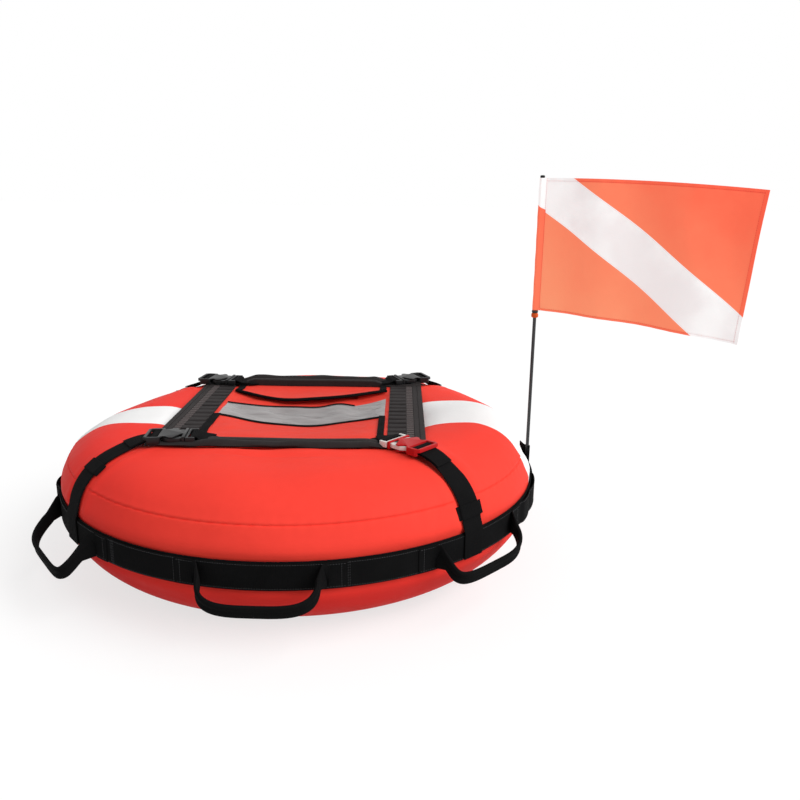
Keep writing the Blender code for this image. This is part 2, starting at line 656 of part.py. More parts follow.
# Flap over the mouth, hinged along its rear edge, and its bound front edge
flap_low = top_layer + FLAP_LIFT
front_xs = [side_edge * (-1 + k / 6) for k in range(13)]
front_edge = [(x, flap_front(x) - hinge_y) for x in front_xs]
hinge_half = side_edge - FLAP_HINGE_INSET
flap_outline = front_edge + [(side_edge, -FLAP_HINGE_INSET / 2), (hinge_half, 0), (-hinge_half, 0),
                             (-side_edge, -FLAP_HINGE_INSET / 2)]
flap = plate("flap", [flap_outline], FLAP_THICKNESS, flap_low, "red_cloth")
flap.matrix_world = Matrix.Translation((0, hinge_y, flap_low + FLAP_THICKNESS / 2))
binding_edge = front_edge + [(x, y + FLAP_BINDING) for x, y in reversed(front_edge)]
flap_binding_low = flap_low + FLAP_THICKNESS + FIT_GAP
edge = plate("flap_binding", [binding_edge], BINDING_THICKNESS, flap_binding_low, "black_webbing")
edge.matrix_world = Matrix.Translation((0, hinge_y, flap_binding_low + BINDING_THICKNESS / 2))

# Buckles: X runs out from the panel to the strap, Z up, the origin in the middle
buckle_z = panel_top + FIT_GAP + BUCKLE_HEIGHT / 2
bar_face = BUCKLE_LENGTH / 2 - BAR_DEPTH
male_face = -BUCKLE_LENGTH / 2 + MALE_LENGTH
female_mouth = male_face + BUCKLE_PARTING
cavity_end = male_face + PRONG_LENGTH + PRONG_CLEARANCE
rim_face = BUCKLE_LENGTH / 2 - RIM_DEPTH
ladder_out = rim_face - LADDER_OUTER
ladder_in = ladder_out - LADDER_BAR


def buckle_frame(corner):
    side, end, inset, beyond, turn = BUCKLE_PLACES[corner]
    middle = Vector((side * (PANEL_HALF_WIDTH - inset), end * (PANEL_HALF_DEPTH + beyond), buckle_z))
    a = math.radians(turn)
    heading = math.atan2(end * math.sin(a), side * math.cos(a))
    return Matrix.Translation(middle) @ Matrix.Rotation(heading, 4, "Z")


def both_sides(half):
    """A closed outline from its half on the +Y side."""
    return half + [(x, -y) for x, y in reversed(half)]


def slot_cutters(frame, name, boxes):
    """Boxes that open the slots and thin the bars at one end of a buckle."""
    return [cutter(name + "_cutter_" + str(k), box_mesh("slot", (x0, -half, low), (x1, half, high)), frame)
            for k, (x0, x1, low, high, half) in enumerate(boxes)]


# What is cut from each half, as (start, end, low, high, half width)
past_end = BUCKLE_LENGTH / 2 + CUT_MARGIN
tall, bar_half = BUCKLE_HEIGHT, BAR_HEIGHT / 2
FEMALE_CUTS = [(ladder_in - LADDER_INNER, ladder_in, -tall, tall, SLOT_HALF_WIDTH),
               (ladder_out, rim_face, -tall, tall, SLOT_HALF_WIDTH),
               (ladder_in - CUT_MARGIN, ladder_out + CUT_MARGIN, bar_half, tall, SLOT_HALF_WIDTH),
               (ladder_in - CUT_MARGIN, ladder_out + CUT_MARGIN, -tall, -bar_half, SLOT_HALF_WIDTH),
               (rim_face, past_end, -tall, RIM_LOW, 2 * BUCKLE_HALF_WIDTH)]
MALE_CUTS = [(-bar_face, SLOT_DEPTH - bar_face, -tall, tall, SLOT_HALF_WIDTH),
             (-past_end, CUT_MARGIN - bar_face, bar_half, tall, SLOT_HALF_WIDTH),
             (-past_end, CUT_MARGIN - bar_face, -tall, -bar_half, SLOT_HALF_WIDTH)]
cross_start, cross_stop = male_face + CROSS_START, male_face + CROSS_STOP
frame_start = cross_stop + CROSS_FLARE + NECK_LENGTH
FEMALE_HALF = [(female_mouth, BUCKLE_HALF_WIDTH - BUCKLE_EASING),
               (female_mouth + MOUTH_BAR, BUCKLE_HALF_WIDTH - BUCKLE_EASING),
               (female_mouth + MOUTH_BAR, SPINE_HALF_WIDTH),
               (cross_start - CROSS_FLARE / 2, SPINE_HALF_WIDTH),
               (cross_start + CROSS_FLARE, BUCKLE_HALF_WIDTH),
               (cross_stop, BUCKLE_HALF_WIDTH),
               (cross_stop + CROSS_FLARE, NECK_HALF_WIDTH),
               (frame_start - BUCKLE_EASING, NECK_HALF_WIDTH),
               (frame_start + CORNER_CUT, BUCKLE_HALF_WIDTH),
               (rim_face - CORNER_CUT, BUCKLE_HALF_WIDTH + BUCKLE_EASING),
               (BUCKLE_LENGTH / 2, BUCKLE_HALF_WIDTH - CORNER_CUT)]
# Outline of a prong from its root on the male's face, bulging out where the female's side is open
PRONG_OUTLINE = [(0.0012, -0.0044), (0.0006, 0), (0.0012, 0.0040), (0.0070, 0.0044), (0.0100, 0.0064),
                 (0.0250, 0.0068), (0.0310, 0.0040), (PRONG_LENGTH, 0.0002), (PRONG_LENGTH, -0.0034),
                 (0.0250, -0.0012), (0.0160, -0.0022), (0.0110, -0.0044)]
BUCKLE_LOOKS = {"front_right": ("red_plastic", "white_plastic")}
for corner in BUCKLE_PLACES:
    frame = buckle_frame(corner)
    female_look, male_look = BUCKLE_LOOKS.get(corner, ("black_plastic", "black_plastic"))
    name = "buckle_" + corner
    female = plate(name + "_female", [both_sides(FEMALE_HALF)], BUCKLE_HEIGHT, 0, female_look)
    female.matrix_world = frame
    female = as_mesh(female)
    cavity = box_mesh("cavity", (female_mouth - CUT_MARGIN, -CAVITY_HALF_WIDTH, -CAVITY_HEIGHT / 2),
                      (cavity_end, CAVITY_HALF_WIDTH, CAVITY_HEIGHT / 2))
    boolean(female, cutter(name + "_cavity_cutter", cavity, frame))
    sides = box_mesh("sides", (female_mouth + MOUTH_BAR, -BUCKLE_LENGTH / 2, -CAVITY_HEIGHT / 2),
                     (frame_start, BUCKLE_LENGTH / 2, CAVITY_HEIGHT / 2))
    boolean(female, cutter(name + "_sides_cutter", sides, frame))
    for cut in slot_cutters(frame, name + "_female", FEMALE_CUTS):
        boolean(female, cut)
    body = box_mesh(name + "_male", (-BUCKLE_LENGTH / 2, -BUCKLE_HALF_WIDTH, -MALE_HEIGHT / 2),
                    (male_face, BUCKLE_HALF_WIDTH, MALE_HEIGHT / 2))
    male = add(name + "_male", body, male_look, frame)
    tongue = box_mesh("tongue", (male_face - CUT_MARGIN, -TONGUE_HALF_WIDTH, -TONGUE_HEIGHT / 2),
                      (male_face + TONGUE_REACH, TONGUE_HALF_WIDTH, TONGUE_HEIGHT / 2))
    boolean(male, cutter(name + "_tongue", tongue, frame), "UNION")
    for cut in slot_cutters(frame, name + "_male", MALE_CUTS):
        boolean(male, cut)
    for prong, side in (("prong_a", 1), ("prong_b", -1)):
        outline = [(x, side * y) for x, y in PRONG_OUTLINE]
        piece = plate(name + "_" + prong, [outline], PRONG_HEIGHT, 0, male_look)
        piece.matrix_world = frame @ Matrix.Translation((male_face, side * PRONG_SIDE, 0))


TURN_REACH = BAR_HEIGHT / 2 + SKIN_GAP + WEBBING_THICKNESS / 2
TURN_DEPTH = WEBBING_THICKNESS + SKIN_GAP
TURN_ROUNDNESS = 0.72          # 1 is an ellipse, less is squarer
TURN_STEPS = 6                 # steps of the half turn round the bar
UP = Vector((0, 0, 1))


def bar_strap(name, start, out, bar, far, arrive, rest, tail, settle):
    """Webbing that comes along rest to far, passes under a buckle's bar, turns round it and lies back
    on itself for the tail's length. start is the middle of the bar's inner face, out its direction and
    bar its depth. Past the bar, the tail comes down on the strap over the length settle."""
    under = start - UP * TURN_REACH
    clear = bar + 2 * WEBBING_THICKNESS
    knee = under + out * clear
    run = (far - knee).length
    doubled = WEBBING_THICKNESS + 2 * FIT_GAP

    def low(share):
        return hermite(knee, out * run, far, arrive * run, share)

    def bearing(share):
        along = (low(min(share + 0.01, 1)) - low(max(share - 0.01, 0))).normalized()
        return UP.cross(along).normalized(), along

    points = [spot for spot, _ in rest]
    sides = [across for _, across in rest]
    for k in range(FREE_STEPS + 1):
        points.append(low(1 - k / FREE_STEPS))
        sides.append(bearing(1 - k / FREE_STEPS)[0])
    points.append(under)
    sides.append(bearing(0)[0])
    for k in range(1, TURN_STEPS):
        a = math.radians(-90 + 180 / TURN_STEPS * k)
        back = TURN_DEPTH * abs(math.cos(a)) ** TURN_ROUNDNESS
        up = math.copysign(TURN_REACH * abs(math.sin(a)) ** TURN_ROUNDNESS, math.sin(a))
        points.append(start - out * back + UP * up)
        sides.append(bearing(0)[0])
    points.append(start + UP * TURN_REACH)
    sides.append(bearing(0)[0])
    leave = bar + SKIN_GAP
    stops = [leave + settle * k / SETTLE_STEPS for k in range(SETTLE_STEPS + 1)]
    stops += [stops[-1] + (tail - stops[-1]) * k / TAIL_STEPS for k in range(1, TAIL_STEPS + 1)]
    for d in stops:
        share = (d - clear) / run
        across, along = bearing(max(share, 0))
        level = start + out * d + UP * TURN_REACH
        laid = low(share) + along.cross(across) * doubled
        height = smooth((d - leave) / settle)
        points.append(Vector((laid.x, laid.y, level.z * (1 - height) + laid.z * height)))
        sides.append(across)
    return ribbon(name, points, sides, WEBBING_WIDTH)


# Straps from the belt up to the buckles, and the rails' webbing to the other side of each buckle
strap_offset = STRAP_LIFT + WEBBING_THICKNESS / 2
for corner, azimuth in STRAP_AZIMUTHS.items():
    frame = buckle_frame(corner)
    out = (frame.to_3x3() @ Vector((1, 0, 0))).normalized()
    start = frame.translation + out * ladder_in
    radial, across = outward(azimuth), UP.cross(outward(azimuth))
    landing = crest_angle(start.xy.length + STRAP_RUN)
    radius, height = section(landing, strap_offset)
    far = radial * radius + UP * (EQUATOR_Z + height)
    ahead, behind = section(landing - 1, strap_offset), section(landing + 1, strap_offset)
    slope = (radial * (ahead[0] - behind[0]) + UP * (ahead[1] - behind[1])).normalized()
    rest = [(radial * SEWN_MID + UP * (EQUATOR_Z + h), across)
            for h in (BELT_CENTRE - WEBBING_WIDTH / 2, BELT_CENTRE, BELT_CENTRE + BELT_WIDTH / 2)]
    count = math.ceil((landing - STRAP_LOW_ANGLE) / STRAP_STEP)
    for k in range(count):
        angle = STRAP_LOW_ANGLE + (landing - STRAP_LOW_ANGLE) * k / count
        r, h = section(angle, strap_offset)
        rest.append((radial * r + UP * (EQUATOR_Z + h), across))
    strap = bar_strap("strap_" + corner, start, out, LADDER_BAR, far, slope, rest, STRAP_TAIL, STRAP_SETTLE)
    solidify(add("strap_" + corner, strap, "black_webbing"), WEBBING_THICKNESS, 0)

    side, end = BUCKLE_PLACES[corner][:2]
    start = frame.translation - out * bar_face
    seat = top_layer + RAIL_THICKNESS - TAIL_SINK + WEBBING_THICKNESS / 2
    far = Vector((start.x - side * TAB_REACH, end * rail_middle, seat))
    tab = bar_strap("tab", start, -out, BAR_DEPTH, far, Vector((-side, 0, 0)), [], TAB_TAIL, TAB_SETTLE)
    tab = cutter("rail_tab_" + corner, tab)
    solidify(tab, WEBBING_THICKNESS, 0)
    boolean(rails[end], tab, "UNION")

# Webbing keepers over the straps
for corner, azimuth in STRAP_AZIMUTHS.items():
    angle = KEEPER_ANGLES[corner]
    radial, across = outward(azimuth), UP.cross(outward(azimuth))
    spot, lifted = section(angle), section(angle, 1.0)
    normal = radial * (lifted[0] - spot[0]) + UP * (lifted[1] - spot[1])
    foot = radial * spot[0] + UP * (EQUATOR_Z + spot[1])
    low = FIT_GAP + KEEPER_THICKNESS / 2
    high = STRAP_LIFT + WEBBING_THICKNESS + FIT_GAP + KEEPER_THICKNESS / 2
    half = WEBBING_WIDTH / 2
    wall = half + KEEPER_THICKNESS
    profile = [(y, low - y * y / (2 * spot[0])) for y in (half + KEEPER_OVERHANG, wall + KEEPER_THICKNESS)]
    profile += [(wall, high), (-wall, high)] + [(-y, n) for y, n in reversed(profile)]
    points = [foot + across * y + normal * n for y, n in profile]
    along = across.cross(normal)
    keeper = ribbon("keeper", points, [along] * len(points), KEEPER_WIDTH)
    solidify(add("strap_keeper_" + corner, keeper, "black_webbing"), KEEPER_THICKNESS, 0)

# Mast holder on the belt: a loop round the mast, and a strip down to the pocket under it
mast_out = SEWN_OUT + MAST_CLEARANCE + MAST_RADIUS
mast_frame = around(MAST_AZIMUTH) @ Matrix.Translation((0, -mast_out, EQUATOR_Z))
grip = MAST_RADIUS + MAST_CLEARANCE + WEBBING_THICKNESS / 2
half_loop = []
for k in range(4):
    a = HOLDER_TAIL / SEWN_MID * (1 - 0.55 * k / 3)
    half_loop.append((SEWN_MID * math.sin(a), SEWN_MID * math.cos(a)))
half_loop += [(2.3 * grip, SEWN_MID + 0.15 * grip), (1.45 * grip, SEWN_MID + 0.5 * grip)]
half_loop += [(grip * math.cos(math.radians(a)), mast_out + grip * math.sin(math.radians(a)))
              for a in range(-10, 90, 20)]
plan = half_loop + [(0, mast_out + grip)] + [(-x, y) for x, y in reversed(half_loop)]
middle = EQUATOR_Z + (HOLDER_LOW + HOLDER_HIGH) / 2
points = [around(MAST_AZIMUTH) @ Vector((x, -y, middle)) for x, y in plan]
holder = add("mast_loop", ribbon("mast_loop", points, [UP] * len(points), HOLDER_HIGH - HOLDER_LOW),
             "black_webbing")
solidify(holder, WEBBING_THICKNESS, 0)
strip_points = [outward(MAST_AZIMUTH) * SEWN_MID + UP * (EQUATOR_Z + h)
                for h in (POCKET_HIGH + FIT_GAP, BELT_CENTRE - BELT_WIDTH / 2, BELT_CENTRE + BELT_WIDTH / 2)]
strip_side = UP.cross(outward(MAST_AZIMUTH))
strip = add("mast_strip", ribbon("mast_strip", strip_points, [strip_side] * 3, STRIP_WIDTH), "black_webbing")
solidify(strip, WEBBING_THICKNESS, 0)
bore = MAST_RADIUS + MAST_CLEARANCE
pocket_out = bore + POCKET_WALL
toe_low = MAST_FOOT - FIT_GAP - POCKET_WALL - 2 * POCKET_TOE
turned("mast_pocket",
       [(0, MAST_FOOT - FIT_GAP), (bore, MAST_FOOT - FIT_GAP), (bore, POCKET_HIGH), (pocket_out, POCKET_HIGH),
        (pocket_out, MAST_FOOT - FIT_GAP), (POCKET_TOE, toe_low), (0, toe_low)],
       "black_webbing", ROD_SIDES, matrix=mast_frame)

# Mast with its tip, collar and stop
turned("mast", [(0, MAST_TOP), (MAST_RADIUS, MAST_TOP), (MAST_RADIUS, MAST_FOOT), (0, MAST_FOOT)],
       "black_plastic", ROD_SIDES, matrix=mast_frame)
fit = MAST_RADIUS + FIT_GAP
tip_low = MAST_TOP - TIP_LENGTH / 2
tip_seat = MAST_TOP + FIT_GAP
turned("mast_tip",
       [(0, tip_seat + TIP_LENGTH / 2), (0.7 * TIP_RADIUS, tip_seat + 0.43 * TIP_LENGTH),
        (TIP_RADIUS, tip_seat + 0.25 * TIP_LENGTH), (TIP_RADIUS, tip_low), (fit, tip_low), (fit, tip_seat),
        (0, tip_seat)],
       "black_plastic", ROD_SIDES, matrix=mast_frame)
flag_high = tip_low - FIT_GAP
flag_low = flag_high - FLAG_HEIGHT


def mast_ring(node, radius, high, length, look):
    """A bevelled ring round the mast."""
    edge = 0.2 * length
    return turned(node,
                  [(fit, high), (radius - edge, high), (radius, high - edge), (radius, high - length + edge),
                   (radius - edge, high - length), (fit, high - length)],
                  look, ROD_SIDES, closed=True, matrix=mast_frame)


collar_high = flag_low - FIT_GAP
mast_ring("mast_collar", COLLAR_RADIUS, collar_high, COLLAR_LENGTH, "black_rubber")
mast_ring("mast_stop", STOP_RADIUS, collar_high - COLLAR_LENGTH - FIT_GAP, STOP_LENGTH, "orange_plastic")

# Flag and the sleeve of its hoist, both turning on the mast
sleeve_in = MAST_RADIUS + MAST_CLEARANCE
sleeve_out = sleeve_in + SLEEVE_WALL
turned("flag_sleeve",
       [(sleeve_in, flag_high), (sleeve_out, flag_high), (sleeve_out, flag_low), (sleeve_in, flag_low)],
       "flag_cloth", ROD_SIDES, closed=True, matrix=mast_frame)
bm = bmesh.new()
rows = []
for row in range(FLAG_ROWS + 1):
    h = row / FLAG_ROWS
    heading = math.radians(FLAG_HEADING + FLAG_TWIST * (2 * h - 1))
    fly = Vector((math.cos(heading), math.sin(heading), 0))
    face = Vector((-math.sin(heading), math.cos(heading), 0))
    line = []
    for column in range(FLAG_COLUMNS + 1):
        s = column / FLAG_COLUMNS
        wave = math.sin(2 * math.pi * FLAG_RIPPLES * s + 1.2 * h)
        ripple = FLAG_RIPPLE * wave * smooth(s / 0.25)
        spot = fly * (sleeve_out + FIT_GAP + FLAG_LENGTH * s) + face * ripple
        line.append(bm.verts.new(spot + UP * (flag_low + FLAG_HEIGHT * h - FLAG_DROOP * s ** 2)))
    rows.append(line)
for below, above in zip(rows, rows[1:]):
    for k in range(FLAG_COLUMNS):
        bm.faces.new((below[k], below[k + 1], above[k + 1], above[k]))
flag = add("flag", mesh_of("flag", bm), "flag_cloth", Matrix.Translation(mast_frame.translation))
solidify(flag, FLAG_THICKNESS, 0)
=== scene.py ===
"""Freediving buoy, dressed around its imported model: a red covered ring with a webbing belt, six hand
loops, a buckled panel over the well, and a flag on a mast.

Metres, +Z up. Azimuths are in degrees from the front, positive towards +X. Section angles are in
degrees from the tube's outer equator, positive over the crest.
"""

import math

import bmesh
import bpy
import numpy as np
from mathutils import Matrix, Vector


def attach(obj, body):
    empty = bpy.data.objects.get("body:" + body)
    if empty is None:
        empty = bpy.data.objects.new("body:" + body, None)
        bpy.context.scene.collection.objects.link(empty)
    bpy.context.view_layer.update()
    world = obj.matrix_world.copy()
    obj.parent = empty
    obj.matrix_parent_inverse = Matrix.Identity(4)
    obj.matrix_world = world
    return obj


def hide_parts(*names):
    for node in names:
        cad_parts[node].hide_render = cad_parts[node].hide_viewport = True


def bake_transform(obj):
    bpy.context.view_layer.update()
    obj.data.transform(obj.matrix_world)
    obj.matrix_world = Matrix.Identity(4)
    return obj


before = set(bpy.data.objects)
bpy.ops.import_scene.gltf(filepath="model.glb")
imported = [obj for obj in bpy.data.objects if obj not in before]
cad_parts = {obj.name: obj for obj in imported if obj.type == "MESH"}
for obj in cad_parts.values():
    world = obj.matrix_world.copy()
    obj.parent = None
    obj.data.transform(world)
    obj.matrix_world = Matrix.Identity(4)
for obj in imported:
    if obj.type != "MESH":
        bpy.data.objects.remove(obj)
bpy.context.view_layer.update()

# Camera: the photograph's view of the buoy, from its front and a little to the right, looking down
# at it by 15 degrees and turned by under a degree about the line of sight.
LENS = 35.43
CAMERA_PLACE = (0.1705, -1.3347, 0.6032)
CAMERA_TILT = 75.127
CAMERA_ROLL = 0.785


def add(name, data, look=None):
    """Puts a mesh, a lens or a lamp in the scene."""
    made = bpy.data.objects.new(name, data)
    bpy.context.scene.collection.objects.link(made)
    if look:
        data.materials.append(look)
    return made


camera = add("camera", bpy.data.cameras.new("camera"))
camera.data.lens = LENS
camera.matrix_world = (Matrix.Translation(CAMERA_PLACE)
                       @ Matrix.Rotation(math.radians(CAMERA_TILT), 4, "X")
                       @ Matrix.Rotation(math.radians(CAMERA_ROLL), 4, "Z"))
bpy.context.scene.camera = camera
bpy.context.scene.view_settings.view_transform = "Standard"

# Cover: coated red nylon with a sewn-in white stripe, drawn tight by the tube that swells inside it.
# The belt bites into it, the straps press it, and its seams pucker where the thread gathers them.
RING_RADIUS = 0.274
TUBE_HALF_WIDTH = 0.1275
CREST_HEIGHT = 0.105
KEEL_HEIGHT = 0.117
CREST_FULLNESS = 2.4
EQUATOR_Z = 0.1204
SEAM_ANGLES = (30.0, -10.0, -150.0)    # above the belt, behind it and low in the well
BELT_CENTRE = -0.006
BELT_BITE = 0.0027
BITE_HALF = 0.0275             # half the height of the belt's bite, and half the width of a strap's
PRESS_HALF = 0.026
STRAP_PRESS = 0.0010
PANEL_PRESS = 0.0015
RAIL_MEET = 0.0105             # rise of the crest under the front rail
SEAM_DEPTH = 0.0013
SEAM_ROLL = 0.0006             # rise of the cloth beside a seam
SEAM_GATHER = 0.00035
STRIPE_FRONT = -0.083
STRIPE_REAR = 0.027
STRIPE_EDGE = 0.0012
STRIPE_OUT = 0.36              # outside this radius it ends at a height
STRIPE_LOW = EQUATOR_Z - 0.03
STRAP_AZIMUTHS = {"front_left": -50.0, "front_right": 43.5, "rear_right": 136.5, "rear_left": -130.0}
COVER_COLUMNS = 640
COVER_STEP = 3.0
SEAM_STEPS = (0.0, 0.45, 0.9, 1.5, 2.2)
# Where the slack cloth stands out or sinks in: the azimuth and its half width, the height, and the
# section angles over which it comes and goes. The first place is the rear left shoulder.
SLACK_PLACES = ((-120, 24, -0.0085, 22, 25, 90, 24), (95, 20, -0.0085, 6, 10, 62, 25),
                (182, 22, -0.0060, 45, 30, 128, 30), (92, 24, 0.0050, 22, 30, 108, 30),
                (-92, 26, -0.0045, 22, 30, 108, 30))
# Slow waves round the ring: height, count, and how each is shifted and slants over the section.
WANDER = ((0.0011, 3, 0.7, 0.0), (0.0008, 7, 2.0, 0.03), (0.0006, 13, 0.9, 0.05))
# Long folds across the front of the crest: height, and the place, curve, lean and half width of each.
SWOOPS = ((0.0026, -0.232, 0.20, 0.02, 0.0050), (-0.0018, -0.243, 0.25, 0.03, 0.0050),
          (0.0017, -0.254, 0.30, 0.05, 0.0055))
UP = np.array((0.0, 0.0, 1.0))


def smooth(x):
    """0 to 1 with level ends."""
    x = np.clip(x, 0.0, 1.0)
    return x * x * (3 - 2 * x)


def bump(x, middle, half):
    """A soft hump of height 1."""
    return np.exp(-((x - middle) / half) ** 2)


def profile(angle):
    """Radius and height over the equator, on the cover's section."""
    a = np.radians(angle)
    full = np.where(np.sin(a) > 0, CREST_FULLNESS, 2.0)
    tall = np.where(np.sin(a) > 0, CREST_HEIGHT, KEEL_HEIGHT)
    across = np.sign(np.cos(a)) * np.abs(np.cos(a)) ** (2 / full)
    rise = np.sign(np.sin(a)) * np.abs(np.sin(a)) ** (2 / full)
    return RING_RADIUS + TUBE_HALF_WIDTH * across, tall * rise


def section(angle, offset=0.0):
    """The same, moved out along the section's normal."""
    ahead, behind = profile(angle + 0.5), profile(angle - 0.5)
    along = np.array((ahead[0] - behind[0], ahead[1] - behind[1]))
    along = along / np.sqrt((along ** 2).sum(axis=0))
    radius, height = profile(angle)
    return radius + offset * along[1], height - offset * along[0]


def outward(azimuth):
    """The level way out of the ring."""
    a = np.radians(azimuth)
    return np.stack((np.sin(a), -np.cos(a), np.zeros_like(a)), axis=-1)


def around(azimuth, radius, height=BELT_CENTRE):
    """Points round the ring, at heights over its equator."""
    level = np.asarray(EQUATOR_Z + height)
    return outward(azimuth) * np.asarray(radius)[..., None] + UP * level[..., None]


def turn(azimuth, middle):
    """Degrees from one azimuth to another, the short way."""
    return (azimuth - middle + 180) % 360 - 180


def slack_cloth(azimuth, angle, places=SLACK_PLACES):
    """How far the slack cloth stands off the plain section."""
    return sum(high * bump(turn(azimuth, middle), 0, half) * smooth((angle - first) / rise)
               * smooth((last - angle) / fall) for middle, half, high, first, rise, last, fall in places)


def cover_dip(azimuth, angle):
    """How far the rear left shoulder lies under the plain section."""
    return -slack_cloth(azimuth, angle, SLACK_PLACES[:1])


def cover_swell(azimuth, angle):
    """How far the cloth stands off the plain section."""
    radius, height = profile(angle)
    a = np.radians(azimuth)
    arc, x, y = a * radius, radius * np.sin(a), -radius * np.cos(a)
    outer = radius > RING_RADIUS
    from_belt = np.abs(height - BELT_CENTRE)
    bite = np.where(outer, smooth((BITE_HALF - from_belt) / 0.0060), 0.0)
    roll = np.where(outer, bump(from_belt, 0.036, 0.010), 0.0)
    wander = sum(high * np.sin(count * a + shift + slant * angle) for high, count, shift, slant in WANDER)
    wander = wander * smooth((height + 0.085) / 0.03)
    seam = pressed = flank = 0.0
    for place in SEAM_ANGLES:
        across = turn(angle, place) * 0.0021
        gather = np.sin(arc / 0.0031 + 1.7 * np.sin(5 * a)) * np.exp(-np.abs(across) / 0.008)
        seam = seam - SEAM_DEPTH * bump(across, 0, 0.0013) + SEAM_ROLL * bump(across, 0.0042, 0.0026)
        seam = seam + SEAM_GATHER * gather
    for place in STRAP_AZIMUTHS.values():
        lateral = np.abs(np.radians(turn(azimuth, place)) * radius)
        reach = smooth((angle - 4) / 10) * smooth((100 - angle) / 12)
        pressed = np.maximum(pressed, smooth((PRESS_HALF - lateral) / 0.006) * reach)
        flank = flank + bump(lateral, 0.034, 0.008) * reach
    top = smooth((height - 0.03) / 0.04)
    swoop = sum(high * bump(y, middle + curve * x ** 2 - lean * x, half)
                for high, middle, curve, lean, half in SWOOPS)
    swoop = swoop * smooth((x + 0.17) / 0.05) * smooth((0.15 - x) / 0.16) * top
    crumple = np.sin(arc / 0.0027 + 0.3 * angle) * np.sin(angle / 1.9 + 9 * a)
    crumple = 0.0008 * crumple * bump(turn(azimuth, 80), 0, 9) * bump(angle, 17, 7)
    crease = np.sin(arc / 0.0052 - 0.12 * angle) * bump(turn(azimuth, 35), 0, 4)
    crease = 0.0015 * crease * bump(angle, 26, 9)
    meet = RAIL_MEET * bump(x, 0, 0.100) * bump(y, -0.216, 0.022) * top
    panel = smooth((0.245 - np.sqrt(x ** 2 + y ** 2)) / 0.03) * top
    swell = (wander + swoop + crumple + crease + seam) * (1 - pressed) * (1 - bite)
    swell = swell - BELT_BITE * bite + 0.0016 * roll * (1 - pressed)
    swell = swell - STRAP_PRESS * pressed + 0.0011 * flank * (1 - pressed) - PANEL_PRESS * panel
    return swell + meet + slack_cloth(azimuth, angle)


def mesh(name, points, edges, faces, look=None):
    """Puts a mesh in the scene."""
    data = bpy.data.meshes.new(name)
    data.from_pydata(points, edges, faces)
    return add(name, data, look)


def skin(name, points, along, across, look, loop_along=False, loop_across=True, caps=False):
    """A mesh over rows of points, with a UV map in metres along the rows' order and across them."""
    points = np.asarray(points, float)
    rows, columns = points.shape[:2]
    faces, places = [], []
    for i in range(rows if loop_along else rows - 1):
        for j in range(columns if loop_across else columns - 1):
            corners = ((i, j), (i, j + 1), (i + 1, j + 1), (i + 1, j))
            faces.append([row % rows * columns + column % columns for row, column in corners])
            places += [(along[row], across[column]) for row, column in corners]
    if caps:
        for row in (0, rows - 1):
            faces.append(range(row * columns, (row + 1) * columns))
            places += [(along[row], across[j]) for j in range(columns)]
    made = mesh(name, points.reshape(-1, 3).tolist(), [], faces, look)
    made.data.uv_layers.new(name="UVMap").data.foreach_set("uv", np.array(places, float).ravel())
    return made


def close(obj, sharp=40):
    """Finishes a closed piece: its faces point out and are smooth, and its sharp edges stay."""
    bm = bmesh.new()
    bm.from_mesh(obj.data)
    bmesh.ops.recalc_face_normals(bm, faces=bm.faces)
    bm.to_mesh(obj.data)
    bm.free()
    obj.data.shade_smooth()
    obj.data.set_sharp_from_angle(angle=math.radians(sharp))
    return obj


def applied(obj):
    """Turns a piece and its modifiers into a plain mesh."""
    graph = bpy.context.evaluated_depsgraph_get()
    data = bpy.data.meshes.new_from_object(obj.evaluated_get(graph))
    obj.modifiers.clear()
    obj.data = data
    return obj


def dress(obj, *nodes, body="buoy", slot="black_webbing"):
    """Ties a piece to its body and hides the solids that it stands for. Its finish, slot, is not used."""
    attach(obj, body)
    if nodes:
        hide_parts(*nodes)
    return obj


